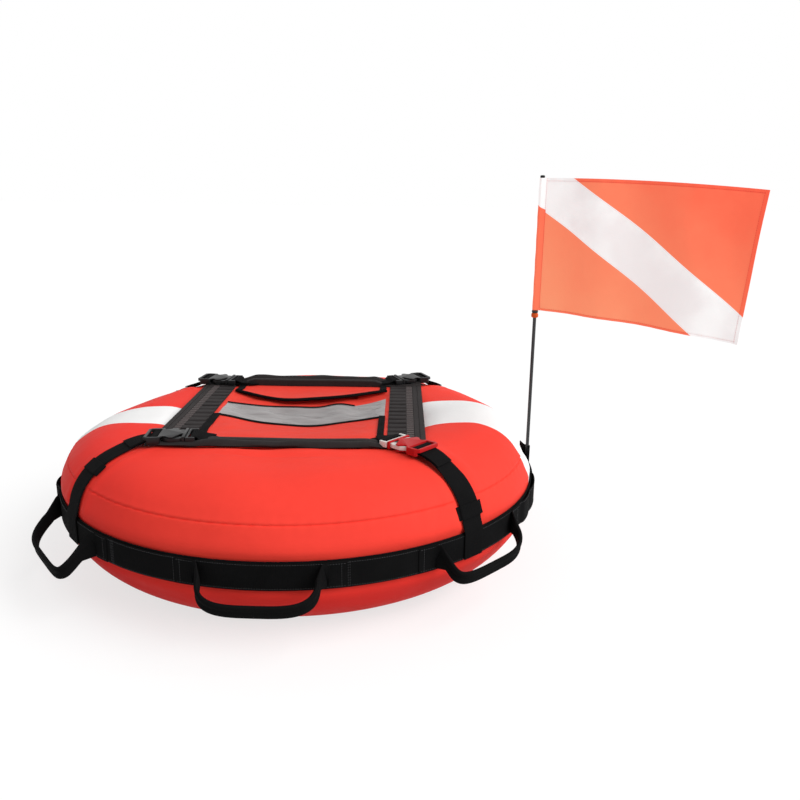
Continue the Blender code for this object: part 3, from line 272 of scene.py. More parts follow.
class Wire:
    """A socket of a tree of nodes. Arithmetic on it adds Math nodes."""

    def __init__(self, tree, socket=None):
        self.tree = tree
        self.socket = socket

    def node(self, kind, sockets=None, output=0, **settings):
        """Adds a node: its settings first, then the values or wires of its sockets."""
        made = self.tree.nodes.new(kind if "Node" in kind else "ShaderNode" + kind)
        for name, setting in settings.items():
            setattr(made, name, setting)
        for key, value in (sockets or {}).items():
            if isinstance(value, Wire):
                self.tree.links.new(value.socket, made.inputs[key])
            else:
                made.inputs[key].default_value = value
        return Wire(self.tree, made.outputs[output])

    def math(self, operation, *others, **settings):
        return self.node("Math", dict(enumerate((self, *others))), operation=operation, **settings)

    def mix(self, first, second):
        """The wire as the share of the second colour."""
        pair = [c if isinstance(c, Wire) else (*c, 1.0) for c in (first, second)]
        return self.node("Mix", {0: self, 6: pair[0], 7: pair[1]}, 2, data_type="RGBA")

    def step(self, edge):
        """0 to 1 across zero, over the given width."""
        return (self / edge + 0.5).clamp()

    def band(self, low, high, edge):
        """1 between two values, with edges of the given softness."""
        return (self - low).step(edge) * (high - self).step(edge)

    def clamp(self):
        return self.math("ADD", 0.0, use_clamp=True)

    def ease(self, low, high):
        """0 to 1 between two values, with level ends."""
        return self.node("MapRange", {0: self, 1: low, 2: high}, interpolation_type="SMOOTHSTEP")

    def wave(self, pitch):
        """-1 to 1, once in each pitch."""
        return (self * (2 * math.pi / pitch)).math("SINE")

    def split(self):
        return [self.node("SeparateXYZ", {0: self}, k) for k in range(3)]

    def weave(self):
        """The UV map's coordinates, along a piece and across it."""
        return self.node("TexCoord", output="UV").split()[:2]

    def threads(self, pitch, height):
        """Relief of a plain weave."""
        u, v = self.weave()
        return u.wave(pitch) * v.wave(pitch) * height

    def noise(self, scale, detail=2.0, roughness=0.5):
        sockets = {"Vector": self, "Scale": scale, "Detail": detail, "Roughness": roughness}
        return self.node("TexNoise", sockets, "Fac")

    def __add__(self, other):
        return self.math("ADD", other)

    def __sub__(self, other):
        return self.math("SUBTRACT", other)

    def __rsub__(self, other):
        return (self * -1.0).math("ADD", other)

    def __mul__(self, other):
        return self.math("MULTIPLY", other)

    def __truediv__(self, other):
        return self.math("DIVIDE", other)


finishes = {}


def finish(name, **constants):
    """A Principled material with constant sockets, its shader and its object coordinates."""
    made = finishes[name] = bpy.data.materials.new(name)
    made.use_nodes = True
    shader = made.node_tree.nodes["Principled BSDF"]
    for key, value in constants.items():
        shader.inputs[key.replace("_", " ")].default_value = value
    return made, shader, Wire(made.node_tree).node("TexCoord", output="Object")


def coat(shader, colour=None, roughness=None, height=None):
    """Wires a finish: its colour, its roughness and its relief in metres."""
    relief = height and height.node("Bump", {"Strength": 1.0, "Distance": 1.0, "Height": height})
    for key, wire in (("Base Color", colour), ("Roughness", roughness), ("Normal", relief)):
        if wire:
            shader.id_data.links.new(wire.socket, shader.inputs[key])


red_cloth, shader, place = finish("red_cloth", Specular_IOR_Level=0.06)
x, y, z = place.split()
drift = place.noise(9.0, 3.0)
soft = place.noise(55.0, 3.0)
tone = (drift * 0.5 + soft * 0.5).mix((0.86, 0.050, 0.034), (0.97, 0.063, 0.042))
# Painted shade: the cloth is darker towards its underside and towards its left side.
painted_shade = (EQUATOR_Z - z).ease(0.0, 0.06) * 0.8 + (x * -1.0).ease(0.08, 0.40) * 0.7
tone = painted_shade.clamp().mix(tone, (0.83, 0.026, 0.024))
right = x.math("GREATER_THAN", 0.0)
front = (x * -1.0).ease(0.25, 0.35) * 0.023 + STRIPE_FRONT + right * (0.023 - x.ease(0.29, 0.38) * 0.032)
rear = right * (0.058 - x.ease(0.31, 0.36) * 0.012) + STRIPE_REAR
outside = (x * x + y * y).math("SQRT").math("GREATER_THAN", STRIPE_OUT)
above = 1 - z.math("LESS_THAN", STRIPE_LOW) * outside
stripe = (y - front).step(STRIPE_EDGE) * (rear - y).step(STRIPE_EDGE) * above
white = (drift * 0.6 + soft * 0.4).mix((0.90, 0.895, 0.89), (0.97, 0.965, 0.96))
seams = (y - front).band(-0.001, 0.001, 0.001) + (y - rear).band(-0.001, 0.001, 0.001)
relief = place.threads(0.0013, 0.00002) + (soft - 0.5) * 0.0005 - seams * above * 0.0004
coat(shader, stripe.mix(tone, white), soft * 0.15 + 0.52, relief)

plain_red, shader, place = finish("panel_red_cloth", Specular_IOR_Level=0.08)
soft = place.noise(70.0, 3.0)
tone = (place.noise(14.0, 3.0) * 0.5 + soft * 0.5).mix((0.75, 0.046, 0.031), (0.86, 0.062, 0.040))
coat(shader, tone, soft * 0.15 + 0.52, place.threads(0.0013, 0.00002) + (soft - 0.5) * 0.0006)

angles = list(np.arange(0.0, 360.0, COVER_STEP))
for place in SEAM_ANGLES:
    angles += [(place + side * step) % 360 for step in SEAM_STEPS for side in (-1, 1)]
angles = np.array(sorted(set(round(a, 3) for a in angles)))
signed = np.where(angles > 180, angles - 360, angles)[:, None]
azimuths = np.arange(COVER_COLUMNS + 1) * 360.0 / COVER_COLUMNS
swell = cover_swell(azimuths[None, :-1], signed)
points = around(azimuths[None, :-1], *section(signed, swell))
plain_radius, plain_height = profile(np.append(angles, 360.0))
steps = np.hypot(np.diff(plain_radius), np.diff(plain_height))
cover = skin("cover", points, np.concatenate(([0.0], np.cumsum(steps))), np.radians(azimuths) * 0.33,
             red_cloth, loop_along=True)
dress(close(cover, 60), "cover_top", "cover_side", "cover_bottom", slot="red_cover")

# Inner tube and its valve: black rubber that fills the cover, and a stem with a screw cap that comes
# through a hole in the cover's wall inside the well.
TUBE_INSET = -0.009
TUBE_UNDER_COVER = 0.0045
TUBE_COLUMNS = 160
TUBE_GIRTH = 0.7
TUBE_LENGTH = 1.7
ROUNDING = 0.0004
MERGE_DISTANCE = 0.00001
FLAT_ANGLE = 1.0               # edges bent by less are dissolved
SHARP_ANGLE = 50


def mottled(name, noise, dark, light, rough=None, grain=None, **constants):
    """A finish whose colour and roughness follow one noise. The relief, grain, is a scale and a height."""
    made, shader, place = finish(name, **constants)
    cloud = place.noise(*noise)
    coat(shader, cloud.mix(dark, light), cloud * rough[0] + rough[1] if rough else None,
         place.noise(grain[0]) * grain[1] if grain else None)
    return made


rubber = mottled("tube_rubber", (60.0, 3.0), (0.012, 0.012, 0.013), (0.030, 0.030, 0.031), (0.25, 0.4),
                 (900.0, 0.0001))
angles = np.arange(-180.0, 180.0, 7.5)
azimuths = np.arange(TUBE_COLUMNS + 1) * 360.0 / TUBE_COLUMNS
swell = cover_swell(azimuths[None, :-1], angles[:, None])
inset = np.minimum(TUBE_INSET, swell - TUBE_UNDER_COVER)
points = around(azimuths[None, :-1], *section(angles[:, None], inset))
along, across = np.append(angles, 180.0) / 360 * TUBE_GIRTH, azimuths / 360 * TUBE_LENGTH
tube = skin("tube_in_cover", points, along, across, rubber, loop_along=True)
dress(close(tube), "inner_tube", slot="tube_rubber")


def crisp(node, slot, body="buoy", width=ROUNDING, angle=25, look=None):
    """A rigid solid with its triangles merged and its edges rounded, as moulded plastic has them."""
    source = bpy.data.objects.get(node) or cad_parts[node]
    bm = bmesh.new()
    bm.from_mesh(source.data)
    bm.transform(source.matrix_world)
    bmesh.ops.remove_doubles(bm, verts=bm.verts, dist=MERGE_DISTANCE)
    bmesh.ops.dissolve_limit(bm, angle_limit=math.radians(FLAT_ANGLE), verts=bm.verts, edges=bm.edges)
    data = bpy.data.meshes.new(node + "_moulded")
    bm.to_mesh(data)
    bm.free()
    made = add(node + "_moulded", data, look or finishes[slot])
    rounding = made.modifiers.new("Rounding", "BEVEL")
    rounding.width = width
    rounding.segments = 3
    rounding.limit_method = "ANGLE"
    rounding.angle_limit = math.radians(angle)
    rounding.harden_normals = False
    applied(made)
    made.data.shade_smooth()
    made.data.set_sharp_from_angle(angle=math.radians(SHARP_ANGLE))
    return dress(made, node, body=body, slot=slot)


mottled("valve_plastic", (700.0, 2.0), (0.010, 0.010, 0.011), (0.022, 0.022, 0.023), (0.2, 0.3),
        (700.0, 0.00005))
crisp("valve_stem", "tube_rubber")
crisp("valve_cap", "valve_plastic", "valve_cap")

# Webbing: woven black polyester. The belt goes round the ring's equator, and a second layer is tacked
# on it every few centimetres as a daisy chain, whose stretches stand off a little between the tacks.
WEBBING_THICKNESS = 0.0016
WEBBING_WIDTH = 0.038
BELT_WIDTH = 0.042
BELT_THICKNESS = 0.0018
BELT_OUT = 0.40208
LAYER_OUT = 0.40418
SEWN_OUT = 0.40628
LOOP_AZIMUTHS = {"front": -1.5, "front_right": 46.0, "rear_right": 134.0,
                 "rear": 178.5, "rear_left": -128.0, "front_left": -52.0}
TACKS = (-178.5, -162.5, -148.0, -114.0, -101.5, -90.0, -78.0, -69.0, -33.9, -18.0, 15.1, 32.2, 62.0, 71.5,
         84.0, 97.0, 110.0, 119.0, 150.5, 164.0)
TACK_RISE = 0.0010
TACK_CLEAR = 17.5              # degrees from a loop's middle within which the layer lies flat
SLACK = {-90.0: 0.0050, -78.0: 0.0065, 62.0: 0.0035, 71.5: 0.0040}   # of the stretches that hang loose
BELT_COLUMNS = 480


def webbing(name, specular, shade, dark, light, rough, twill):
    """A ribbed weave with lint on it, and a twill of the given height."""
    made, shader, place = finish(name, Specular_IOR_Level=specular)
    u, v = place.weave()
    lint = place.noise(180.0, 4.0, 0.65)
    tone = (lint * 0.5 + place.noise(shade, 3.0) * 0.5).mix(dark, light)
    relief = u.wave(0.0030) * 0.00007 + (lint - 0.5) * 0.0002
    coat(shader, tone, lint * 0.2 + rough,
         relief + (u + v.math("PINGPONG", 0.0045)).wave(0.0018) * twill)
    return made


webbing_black = webbing("woven_webbing", 0.03, 22.0, (0.002, 0.002, 0.002), (0.010, 0.010, 0.0105),
                        0.70, 0.00004)


def band_outline(width, thickness, count=7):
    """Closed section of a band: (across, out) pairs, with rounded edges."""
    half, edge = width / 2 - thickness / 2, thickness / 2
    side = [(half + edge * math.cos(a), edge * math.sin(a)) for a in np.radians((-60, 0, 60))]
    upper = side + [(half - 2 * half * k / (count - 1), edge) for k in range(count)]
    return upper + [(-a, -b) for a, b in upper]


def unit(vectors):
    """The vectors at a length of 1."""
    vectors = np.asarray(vectors, float)
    return vectors / np.maximum(np.linalg.norm(vectors, axis=-1, keepdims=True), 1e-12)


def lengths(points):
    """Distance along a path, at each point."""
    return np.concatenate(([0.0], np.cumsum(np.linalg.norm(np.diff(points, axis=0), axis=1))))


def band(name, path, sides, width=WEBBING_WIDTH, thickness=WEBBING_THICKNESS, look=webbing_black,
         closed=False, outline=None):
    """A band along a path. Its width lies along sides, and outline may change from row to row."""
    path = np.asarray(path, float)
    if closed:
        along = unit(np.roll(path, -1, axis=0) - np.roll(path, 1, axis=0))
    else:
        along = unit(np.gradient(path, axis=0))
    out = unit(np.cross(along, np.broadcast_to(np.asarray(sides, float), path.shape)))
    across = np.cross(out, along)
    outline = np.asarray(band_outline(width, thickness) if outline is None else outline, float)
    if outline.ndim == 2:
        outline = np.broadcast_to(outline, (len(path), *outline.shape))
    points = path[:, None, :] + across[:, None, :] * outline[..., 0:1] + out[:, None, :] * outline[..., 1:2]
    ring = np.vstack((outline[0], outline[0][:1]))
    line = np.vstack((path, path[:1])) if closed else path
    return close(skin(name, points, lengths(line), lengths(ring), look, loop_along=closed, caps=not closed))


def tack_lift(azimuth):
    """How far the daisy chain stands off the belt, 0 at each tack."""
    wrapped = turn(azimuth, 0)
    tacks = np.array(sorted(TACKS))
    ends = np.concatenate((tacks[-1:] - 360, tacks, tacks[:1] + 360))
    index = np.clip(np.searchsorted(ends, wrapped) - 1, 0, len(ends) - 2)
    low, high = ends[index], ends[index + 1]
    share = (wrapped - low) / (high - low)
    away, rise = 1.0, TACK_RISE
    for place in LOOP_AZIMUTHS.values():
        away = np.minimum(away, smooth((np.abs(turn(wrapped, place)) - TACK_CLEAR) / 2.0))
    for place, slack in SLACK.items():
        rise = np.where(np.abs(turn(low, place)) < 0.01, slack, rise)
    return rise * np.sqrt(np.clip(np.sin(np.pi * share), 0, 1)) * away


azimuths = np.arange(BELT_COLUMNS) * 360.0 / BELT_COLUMNS
path = around(azimuths, BELT_OUT - BELT_THICKNESS / 2)
dress(band("belt_webbing", path, UP, BELT_WIDTH, BELT_THICKNESS, closed=True), "belt")
path = around(azimuths, LAYER_OUT - WEBBING_THICKNESS / 2 + tack_lift(azimuths))
dress(band("daisy_chain_webbing", path, UP, closed=True), "belt_daisy_chain")

# Stitching: every sewn line is real thread, a row of short stitches along its path. Black thread on
# the webbing, red thread on the cloth.
STITCH_PITCH = 0.0034
STITCH_LENGTH = 0.0024
THREAD_WIDTH = 0.0006
THREAD_OUT = 0.0001            # of a thread's middle over the cloth or webbing that it is sewn on
TACK_OUT = 0.0003
TACK_ROWS = (-0.35, 0.0, 0.35)
TACK_HALF = 0.0165
EDGE_ROWS = (-0.017, 0.017)    # heights of the lines along the daisy chain's edges
black_thread = mottled("black_thread", (300.0,), (0.020, 0.020, 0.022), (0.060, 0.060, 0.064), Roughness=0.5)
red_thread = mottled("red_thread", (300.0,), (0.55, 0.020, 0.015), (0.80, 0.040, 0.028), Roughness=0.5)


def tree_of(name, *sizes):
    """An empty Geometry Nodes tree, and its inputs as wires: the lines, a pitch, sizes and a finish."""
    made = bpy.data.node_groups.new(name, "GeometryNodeTree")
    kinds = {"Geometry": "Geometry", **dict.fromkeys(("Pitch", *sizes), "Float"), "Finish": "Material"}
    for title, kind in kinds.items():
        made.interface.new_socket(title, in_out="INPUT", socket_type="NodeSocket" + kind)
    made.interface.new_socket("Geometry", in_out="OUTPUT", socket_type="NodeSocketGeometry")
    return made, {socket.name: Wire(made, socket) for socket in made.nodes.new("NodeGroupInput").outputs}


def scatter(tree, given, one):
    """Sets copies of a piece along the tree's lines, at its pitch and in its finish."""
    curve = one.node("GeometryNodeMeshToCurve", {0: given["Geometry"]})
    spots = one.node("GeometryNodeResampleCurve", {"Curve": curve, "Length": given["Pitch"]}, mode="LENGTH")
    tangent = one.node("GeometryNodeInputTangent")
    heading = one.node("FunctionNodeAlignRotationToVector", {"Vector": tangent}, axis="X")
    rows = one.node("GeometryNodeInstanceOnPoints", {"Points": spots, "Instance": one, "Rotation": heading})
    rows = one.node("GeometryNodeRealizeInstances", {0: rows})
    rows = one.node("GeometryNodeSetMaterial", {"Geometry": rows, "Material": given["Finish"]})
    tree.links.new(rows.socket, tree.nodes.new("NodeGroupOutput").inputs[0])


stitch_tree, given = tree_of("stitches", "Length", "Width")
ball = given["Pitch"].node("GeometryNodeMeshUVSphere", {"Segments": 6, "Rings": 4, "Radius": 0.5})
size = ball.node("CombineXYZ", {0: given["Length"], 1: given["Width"], 2: given["Width"]})
scatter(stitch_tree, given, ball.node("GeometryNodeTransform", {"Geometry": ball, "Scale": size}))


def follow(name, lines, tree, inputs):
    """Grows a tree along open lines of points, and makes the result a plain mesh."""
    spots, edges = [], []
    for line in lines:
        edges += [(len(spots) + k, len(spots) + k + 1) for k in range(len(line) - 1)]
        spots += [tuple(float(c) for c in p) for p in line]
    made = mesh(name, spots, edges, [])
    growth = made.modifiers.new("Growth", "NODES")
    growth.node_group = tree
    sockets = {s.name: s.identifier for s in tree.interface.items_tree if s.in_out == "INPUT"}
    for title, value in inputs.items():
        growth[sockets[title]] = value
    return applied(made)


def sew(name, lines, thread=black_thread):
    """Rows of stitches along lines."""
    made = follow(name, lines, stitch_tree, {"Pitch": STITCH_PITCH, "Length": STITCH_LENGTH,
                                             "Width": THREAD_WIDTH, "Finish": thread})
    made.data.shade_smooth()
    return made


steps = np.linspace(0, 360, 721)
lines = [around(steps, LAYER_OUT + tack_lift(steps) + THREAD_OUT, BELT_CENTRE + h) for h in EDGE_ROWS]
heights = BELT_CENTRE + np.linspace(-TACK_HALF, TACK_HALF, 12)
lines += [around(place + row, LAYER_OUT + TACK_OUT, heights) for place in TACKS for row in TACK_ROWS]
dress(sew("belt_stitches", lines))

# Hand loops: a length of the same webbing, flat where its tails are sewn on the belt, folded in half
# lengthways into a thick grip in between.
LOOP_HALF_SPAN = 0.079
# How each loop hangs: its reach, its droop under level, how far its grip leans along the belt, and how
# square its corners are on either side (less is squarer)
PLAIN_HANG = (0.049, 37, 0.0, 0.58, 0.58)
LOOP_HANGS = {"front": PLAIN_HANG, "front_right": (0.0450, 34, -0.008, 0.40, 0.66),
              "rear_right": PLAIN_HANG, "rear": PLAIN_HANG, "rear_left": PLAIN_HANG,
              "front_left": (0.0600, 41, 0.006, 0.46, 0.34)}
LOOP_WIDTH = 0.020
LOOP_THICKNESS = 0.007
LOOP_CHORD = 0.401786
TAIL_LENGTH = 0.034
TAIL_STATIONS = 8
GRIP_STATIONS = 44
FOLD_SHARE = 0.24              # of the reach, over which the flat webbing folds into the grip
LOOP_SEW = (0.008, 0.030)      # sewn lines across a tail, from its end, and along its edges
LOOP_HEM = (0.004, 0.030)
LOOP_EDGE = 0.016
LOOP_BLEND = (-0.003, 0.009)   # places out from the line between the roots, handed to bend, which does not use them
ROOT_GAP = 0.003               # from the root to the nearest row of the tail
TAIL_THREAD = 0.0009
GRIP_LEAN = 0.35               # how far the grip's flat side follows the droop


def fold_outline(share):
    """Section of the loop's webbing: flat at 0, folded in half into a soft roll at 1."""
    flat = np.array(band_outline(WEBBING_WIDTH, WEBBING_THICKNESS, 11))
    a = np.arctan2(flat[:, 1] / WEBBING_THICKNESS, flat[:, 0] / WEBBING_WIDTH)
    squared = (np.abs(np.cos(a)) ** 4 + np.abs(np.sin(a)) ** 4) ** 0.25
    roll = np.stack((LOOP_WIDTH / 2 * np.cos(a), LOOP_THICKNESS / 2 * np.sin(a)), axis=1)
    roll = roll / squared[:, None] ** 0.7
    roll[:, 1] += 0.0016 * bump(roll[:, 1], -LOOP_THICKNESS / 2, 0.003) * bump(roll[:, 0], 0, 0.003)
    return flat * (1 - share) + roll * share


def loop_path(reach, lean, low, high):
    """Centreline of a loop in its own frame: X along the hinge, Y out along the loop."""
    share = np.linspace(0, 1, GRIP_STATIONS + 1)
    share = share - 0.06 * np.sin(2 * math.pi * share) / (2 * math.pi) * 4
    a = math.pi * share
    square = low + (high - low) * smooth(0.5 + 0.5 * np.cos(a))
    across = np.sign(np.cos(a)) * np.abs(np.cos(a)) ** square
    out = np.sin(a) ** square
    return np.stack((LOOP_HALF_SPAN * across + lean * out, reach * out), axis=1)


def bend(obj, body, start, end, *nodes, slot="black_webbing"):
    """Bakes a piece's placement into its mesh and hides the solids that it stands for. Its start, the moving
    body and its end are not used.
    """
    if nodes:
        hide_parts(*nodes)
    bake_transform(obj)
    return obj


heights = BELT_CENTRE + np.linspace(-LOOP_EDGE, LOOP_EDGE, 12)
tail_radius = LAYER_OUT + WEBBING_THICKNESS / 2 - 0.0002
root = math.degrees(math.asin(LOOP_HALF_SPAN / tail_radius))
tail = [root + math.degrees((TAIL_LENGTH * (1 - k / TAIL_STATIONS) + ROOT_GAP) / tail_radius)
        for k in range(TAIL_STATIONS)]
for name, azimuth in LOOP_AZIMUTHS.items():
    length, droop, lean, low_side, high_side = LOOP_HANGS[name]
    droop = math.radians(droop)
    out = outward(azimuth)
    side = np.cross(UP, out)
    reach = out * math.cos(droop) - UP * math.sin(droop)
    lift = out * math.sin(droop) + UP * math.cos(droop)
    stations = [(around(azimuth + a, tail_radius), UP, 0.0) for a in tail]
    for x, y in loop_path(length, lean, low_side, high_side)[1:-1]:
        gone = float(smooth(y / (length * FOLD_SHARE)))
        flat_side = UP * (1 - gone) + unit(lift * GRIP_LEAN + UP * (1 - GRIP_LEAN)) * gone
        stations.append((around(azimuth, LOOP_CHORD) + side * x + reach * y, flat_side, gone))
    stations += [(around(azimuth - a, tail_radius), UP, 0.0) for a in reversed(tail)]
    rows, sides, shares = zip(*stations)
    loop = band("loop_" + name + "_webbing", rows, sides, outline=[fold_outline(s) for s in shares])
    lines = []
    for hand in (-1, 1):
        for inset in LOOP_SEW:
            a = azimuth + hand * (tail[0] - math.degrees(inset / tail_radius))
            lines.append(around(a, tail_radius + TAIL_THREAD, heights))
        a = azimuth + hand * (tail[0] - np.degrees(np.linspace(*LOOP_HEM, 8) / tail_radius))
        lines += [around(a, tail_radius + TAIL_THREAD, BELT_CENTRE + h) for h in (-LOOP_EDGE, LOOP_EDGE)]
    dress(sew("loop_" + name + "_stitches", lines))
    low, high = (around(azimuth, LOOP_CHORD + place) for place in LOOP_BLEND)
    bend(loop, "loop_" + name, low, high, "loop_" + name)

# Centre panel: red cloth drawn over the crest by four buckles and sagging a little between them. The
# grey window and the front pocket are sewn on it, and the mouth behind the window opens into the well.
PANEL_HALF_WIDTH = 0.212
PANEL_HALF_DEPTH = 0.178
RAIL_WIDTH = 0.034
BAND_WIDTH = 0.061
CLOTH_LOW = 0.2260
CLOTH_THICKNESS = 0.001
CLOTH_MARGIN = 0.007           # by which the side bands and the rails reach over the cloth's edge
TOP_LAYER = 0.2273
SIDE_EDGE = 0.144
WINDOW_FRONT = -0.036
WINDOW_REAR = 0.056
WINDOW_LAP = 0.006
WINDOW_CORNER = (0.088, 0.038)  # where its rear edge starts to run back, and how far it goes
WINDOW_THICKNESS = 0.0007
MOUTH = (-0.090, 0.090, 0.106, 0.124)
BINDING_WIDTH = 0.008
BINDING_THICKNESS = 0.0016
BINDING_ENDS = (-0.1368, 0.1345)
# Side bindings of the pocket: middle, width, and how far the front end is drawn inwards.
POCKET_SIDES = (("left", -0.1437, 0.0136, 0.0042), ("right", 0.1400, 0.0110, 0.0))
EDGE_GAP = 0.0003
SEAM_MARGIN = 0.008            # from a sheet's edge to where it is free to rise
SHEET_STEP = 0.0040
# Hang of the panel, in rows from its front edge to its rear one: the place of the row, its drop in the
# middle, how square the drop's curve is, and the height and place of a fold that stands up in it.
HANG = ((-0.212, 0.0015, 1.0, 0.0, 0.0), (-0.178, 0.0025, 1.0, 0.0, 0.0), (-0.034, 0.0195, 1.5, 0.0, 0.0),
        (0.056, 0.0110, 0.6, 0.0062, 0.058), (0.100, 0.0110, 0.6, 0.0040, 0.066),
        (0.140, 0.0045, 0.6, 0.0, 0.0), (0.178, 0.0005, 1.0, 0.0, 0.0), (0.212, 0.0, 1.0, 0.0, 0.0))
HANG_HALF = 0.150


def panel_sag(x, y):
    """How far the panel hangs under its level corners, kept clear of the ring."""
    across = np.clip(1 - (x / HANG_HALF) ** 2, 0, 1)
    drops = [drop * across ** square - fold * bump(x, middle, 0.026)
             for _, drop, square, fold, middle in HANG]
    places = [row[0] for row in HANG]
    k = int(np.clip(np.searchsorted(places, y) - 1, 0, len(places) - 2))
    t = np.clip((y - places[k]) / (places[k + 1] - places[k]), 0, 1)
    t = 0.5 * t + 0.5 * smooth(t)
    sag = drops[k] * (1 - t) + drops[k + 1] * t
    fold = 0.0009 * np.sin(x / 0.016 + 3 * np.sin(y / 0.03)) * np.sin(y / 0.021 + 1.0)
    sag = sag + fold * smooth((0.19 - np.abs(x)) / 0.04) * smooth((0.17 - np.abs(y)) / 0.03)
    share = np.abs((np.hypot(x, y) - RING_RADIUS) / TUBE_HALF_WIDTH)
    under = CREST_HEIGHT * np.clip(1 - np.minimum(share, 1) ** CREST_FULLNESS, 0, 1) ** (1 / CREST_FULLNESS)
    room = CLOTH_LOW - (EQUATOR_Z + under) - 0.0004
    return (sag + room - np.sqrt((sag - room) ** 2 + 0.0008 ** 2)) / 2


def lines_between(low, high, cuts=()):
    """Grid lines from low to high about a step apart, with one at each cut."""
    marks = sorted({low, high, *[c for c in cuts if low < c < high]})
    found = [marks[0]]
    for first, second in zip(marks, marks[1:]):
        count = max(1, round((second - first) / SHEET_STEP))
        found += [first + (second - first) * k / count for k in range(1, count + 1)]
    return np.array(found)


def walled(obj, thickness):
    """Gives a sheet its thickness, half on either side."""
    wall = obj.modifiers.new("Wall", "SOLIDIFY")
    wall.thickness = thickness
    wall.offset = 0.0
    return close(applied(obj))


def sheet(name, xs, ys, low, thickness, look, holes=(), drawn=None, rise=None):
    """A draped sheet on a grid, with holes, its underside at low over the ring's level."""
    spots, faces, index = [], [], {}

    def corner(i, j):
        if (i, j) not in index:
            x, y = float(xs[i]), float(ys[j])
            y = drawn(x, y) if drawn else y
            z = low + thickness / 2 - float(panel_sag(x, y)) + (float(rise(x, y)) if rise else 0.0)
            index[i, j] = len(spots)
            spots.append((x, y, z))
        return index[i, j]

    for i in range(len(xs) - 1):
        for j in range(len(ys) - 1):
            mx, my = (xs[i] + xs[i + 1]) / 2, (ys[j] + ys[j + 1]) / 2
            if any(x0 < mx < x1 and y0 < my < y1 for x0, x1, y0, y1 in holes):
                continue
            faces.append((corner(i, j), corner(i + 1, j), corner(i + 1, j + 1), corner(i, j + 1)))
    made = mesh(name, spots, [], faces, look)
    places = made.data.uv_layers.new(name="UVMap")
    for loop in made.data.loops:
        places.data[loop.index].uv = spots[loop.vertex_index][:2]
    return walled(made, thickness)


def on_panel(x, y, over):
    """A point over the draped panel."""
    return np.array((x, y, TOP_LAYER - float(panel_sag(x, y)) + over))


cloth_half = PANEL_HALF_WIDTH - CLOTH_MARGIN
cloth_end = PANEL_HALF_DEPTH + RAIL_WIDTH - CLOTH_MARGIN
hole_edge = SIDE_EDGE - WINDOW_LAP
window_hole = (-hole_edge, hole_edge, WINDOW_FRONT + WINDOW_LAP, WINDOW_REAR - WINDOW_LAP)
xs = lines_between(-cloth_half, cloth_half, (-hole_edge, hole_edge, MOUTH[0], MOUTH[1]))
ys = lines_between(-cloth_end, cloth_end, (window_hole[2], window_hole[3], MOUTH[2], MOUTH[3]))
panel = sheet("panel_cloth_draped", xs, ys, CLOTH_LOW, CLOTH_THICKNESS, plain_red, (window_hole, MOUTH))
dress(panel, "panel_cloth", slot="red_cover")
holes_area = sum((x1 - x0) * (y1 - y0) for x0, x1, y0, y1 in (window_hole, MOUTH))
4 * cloth_half * cloth_end - holes_area

vinyl, shader, place = finish("window_vinyl", Specular_IOR_Level=0.5, Coat_Roughness=0.12, Coat_Weight=0.25)
haze = place.noise(16.0, 3.0)
streaks = place.node("Mapping", {0: place, "Scale": (0.22, 1.0, 1.0)}).noise(95.0, 3.0)
tone = (haze * 0.35 + streaks * 0.65).mix((0.120, 0.108, 0.108), (0.410, 0.385, 0.383))
coat(shader, tone, haze * 0.15 + 0.22, streaks * 0.0022 + place.noise(130.0, 2.0) * 0.0003)


def window_rise(x, y):
    """Creases of the window sheet, drawn up between its sewn edges."""
    held = smooth((hole_edge - np.abs(x)) / 0.02) * smooth((y - WINDOW_FRONT - SEAM_MARGIN) / 0.012)
    held = held * smooth((WINDOW_REAR - SEAM_MARGIN - y) / 0.012)
    return held * (0.0013 * np.sin(x / 0.011 + 2 * np.sin(y / 0.017)) + 0.0010 * np.sin(y / 0.006 + x / 0.03)
                   - 0.003)


def window_drawn(x, y):
    """The rear edge runs back to a corner at its right end."""
    share = float(np.clip((y - WINDOW_FRONT) / (WINDOW_REAR - WINDOW_FRONT), 0, 1)) ** 2
    right = min(1.0, max(0.0, (x - WINDOW_CORNER[0]) / (SIDE_EDGE - WINDOW_CORNER[0])))
    return y + share * WINDOW_CORNER[1] * right


xs = lines_between(-SIDE_EDGE, SIDE_EDGE)
ys = lines_between(WINDOW_FRONT, WINDOW_REAR)
window = sheet("window_draped", xs, ys, TOP_LAYER, WINDOW_THICKNESS, vinyl, drawn=window_drawn,
               rise=window_rise)
dress(window, "window", slot="clear_vinyl")


def pocket_rise(x, y):
    """Soft fullness of the pocket, none at its sewn edges."""
    held = smooth((SIDE_EDGE - SEAM_MARGIN - np.abs(x)) / 0.03)
    held = held * smooth((y + PANEL_HALF_DEPTH - SEAM_MARGIN / 2) / 0.03)
    held = held * smooth((WINDOW_FRONT - SEAM_MARGIN - y) / 0.02)
    return held * (0.0022 + 0.0009 * np.sin(x / 0.023 + 1.0) * np.sin(y / 0.018))


pocket_front, pocket_rear = -PANEL_HALF_DEPTH + EDGE_GAP, WINDOW_FRONT - EDGE_GAP
ys = lines_between(pocket_front, pocket_rear)
pocket = sheet("pocket_draped", xs, ys, TOP_LAYER, CLOTH_THICKNESS, plain_red, rise=pocket_rise)
dress(pocket, "pocket", slot="red_cover")

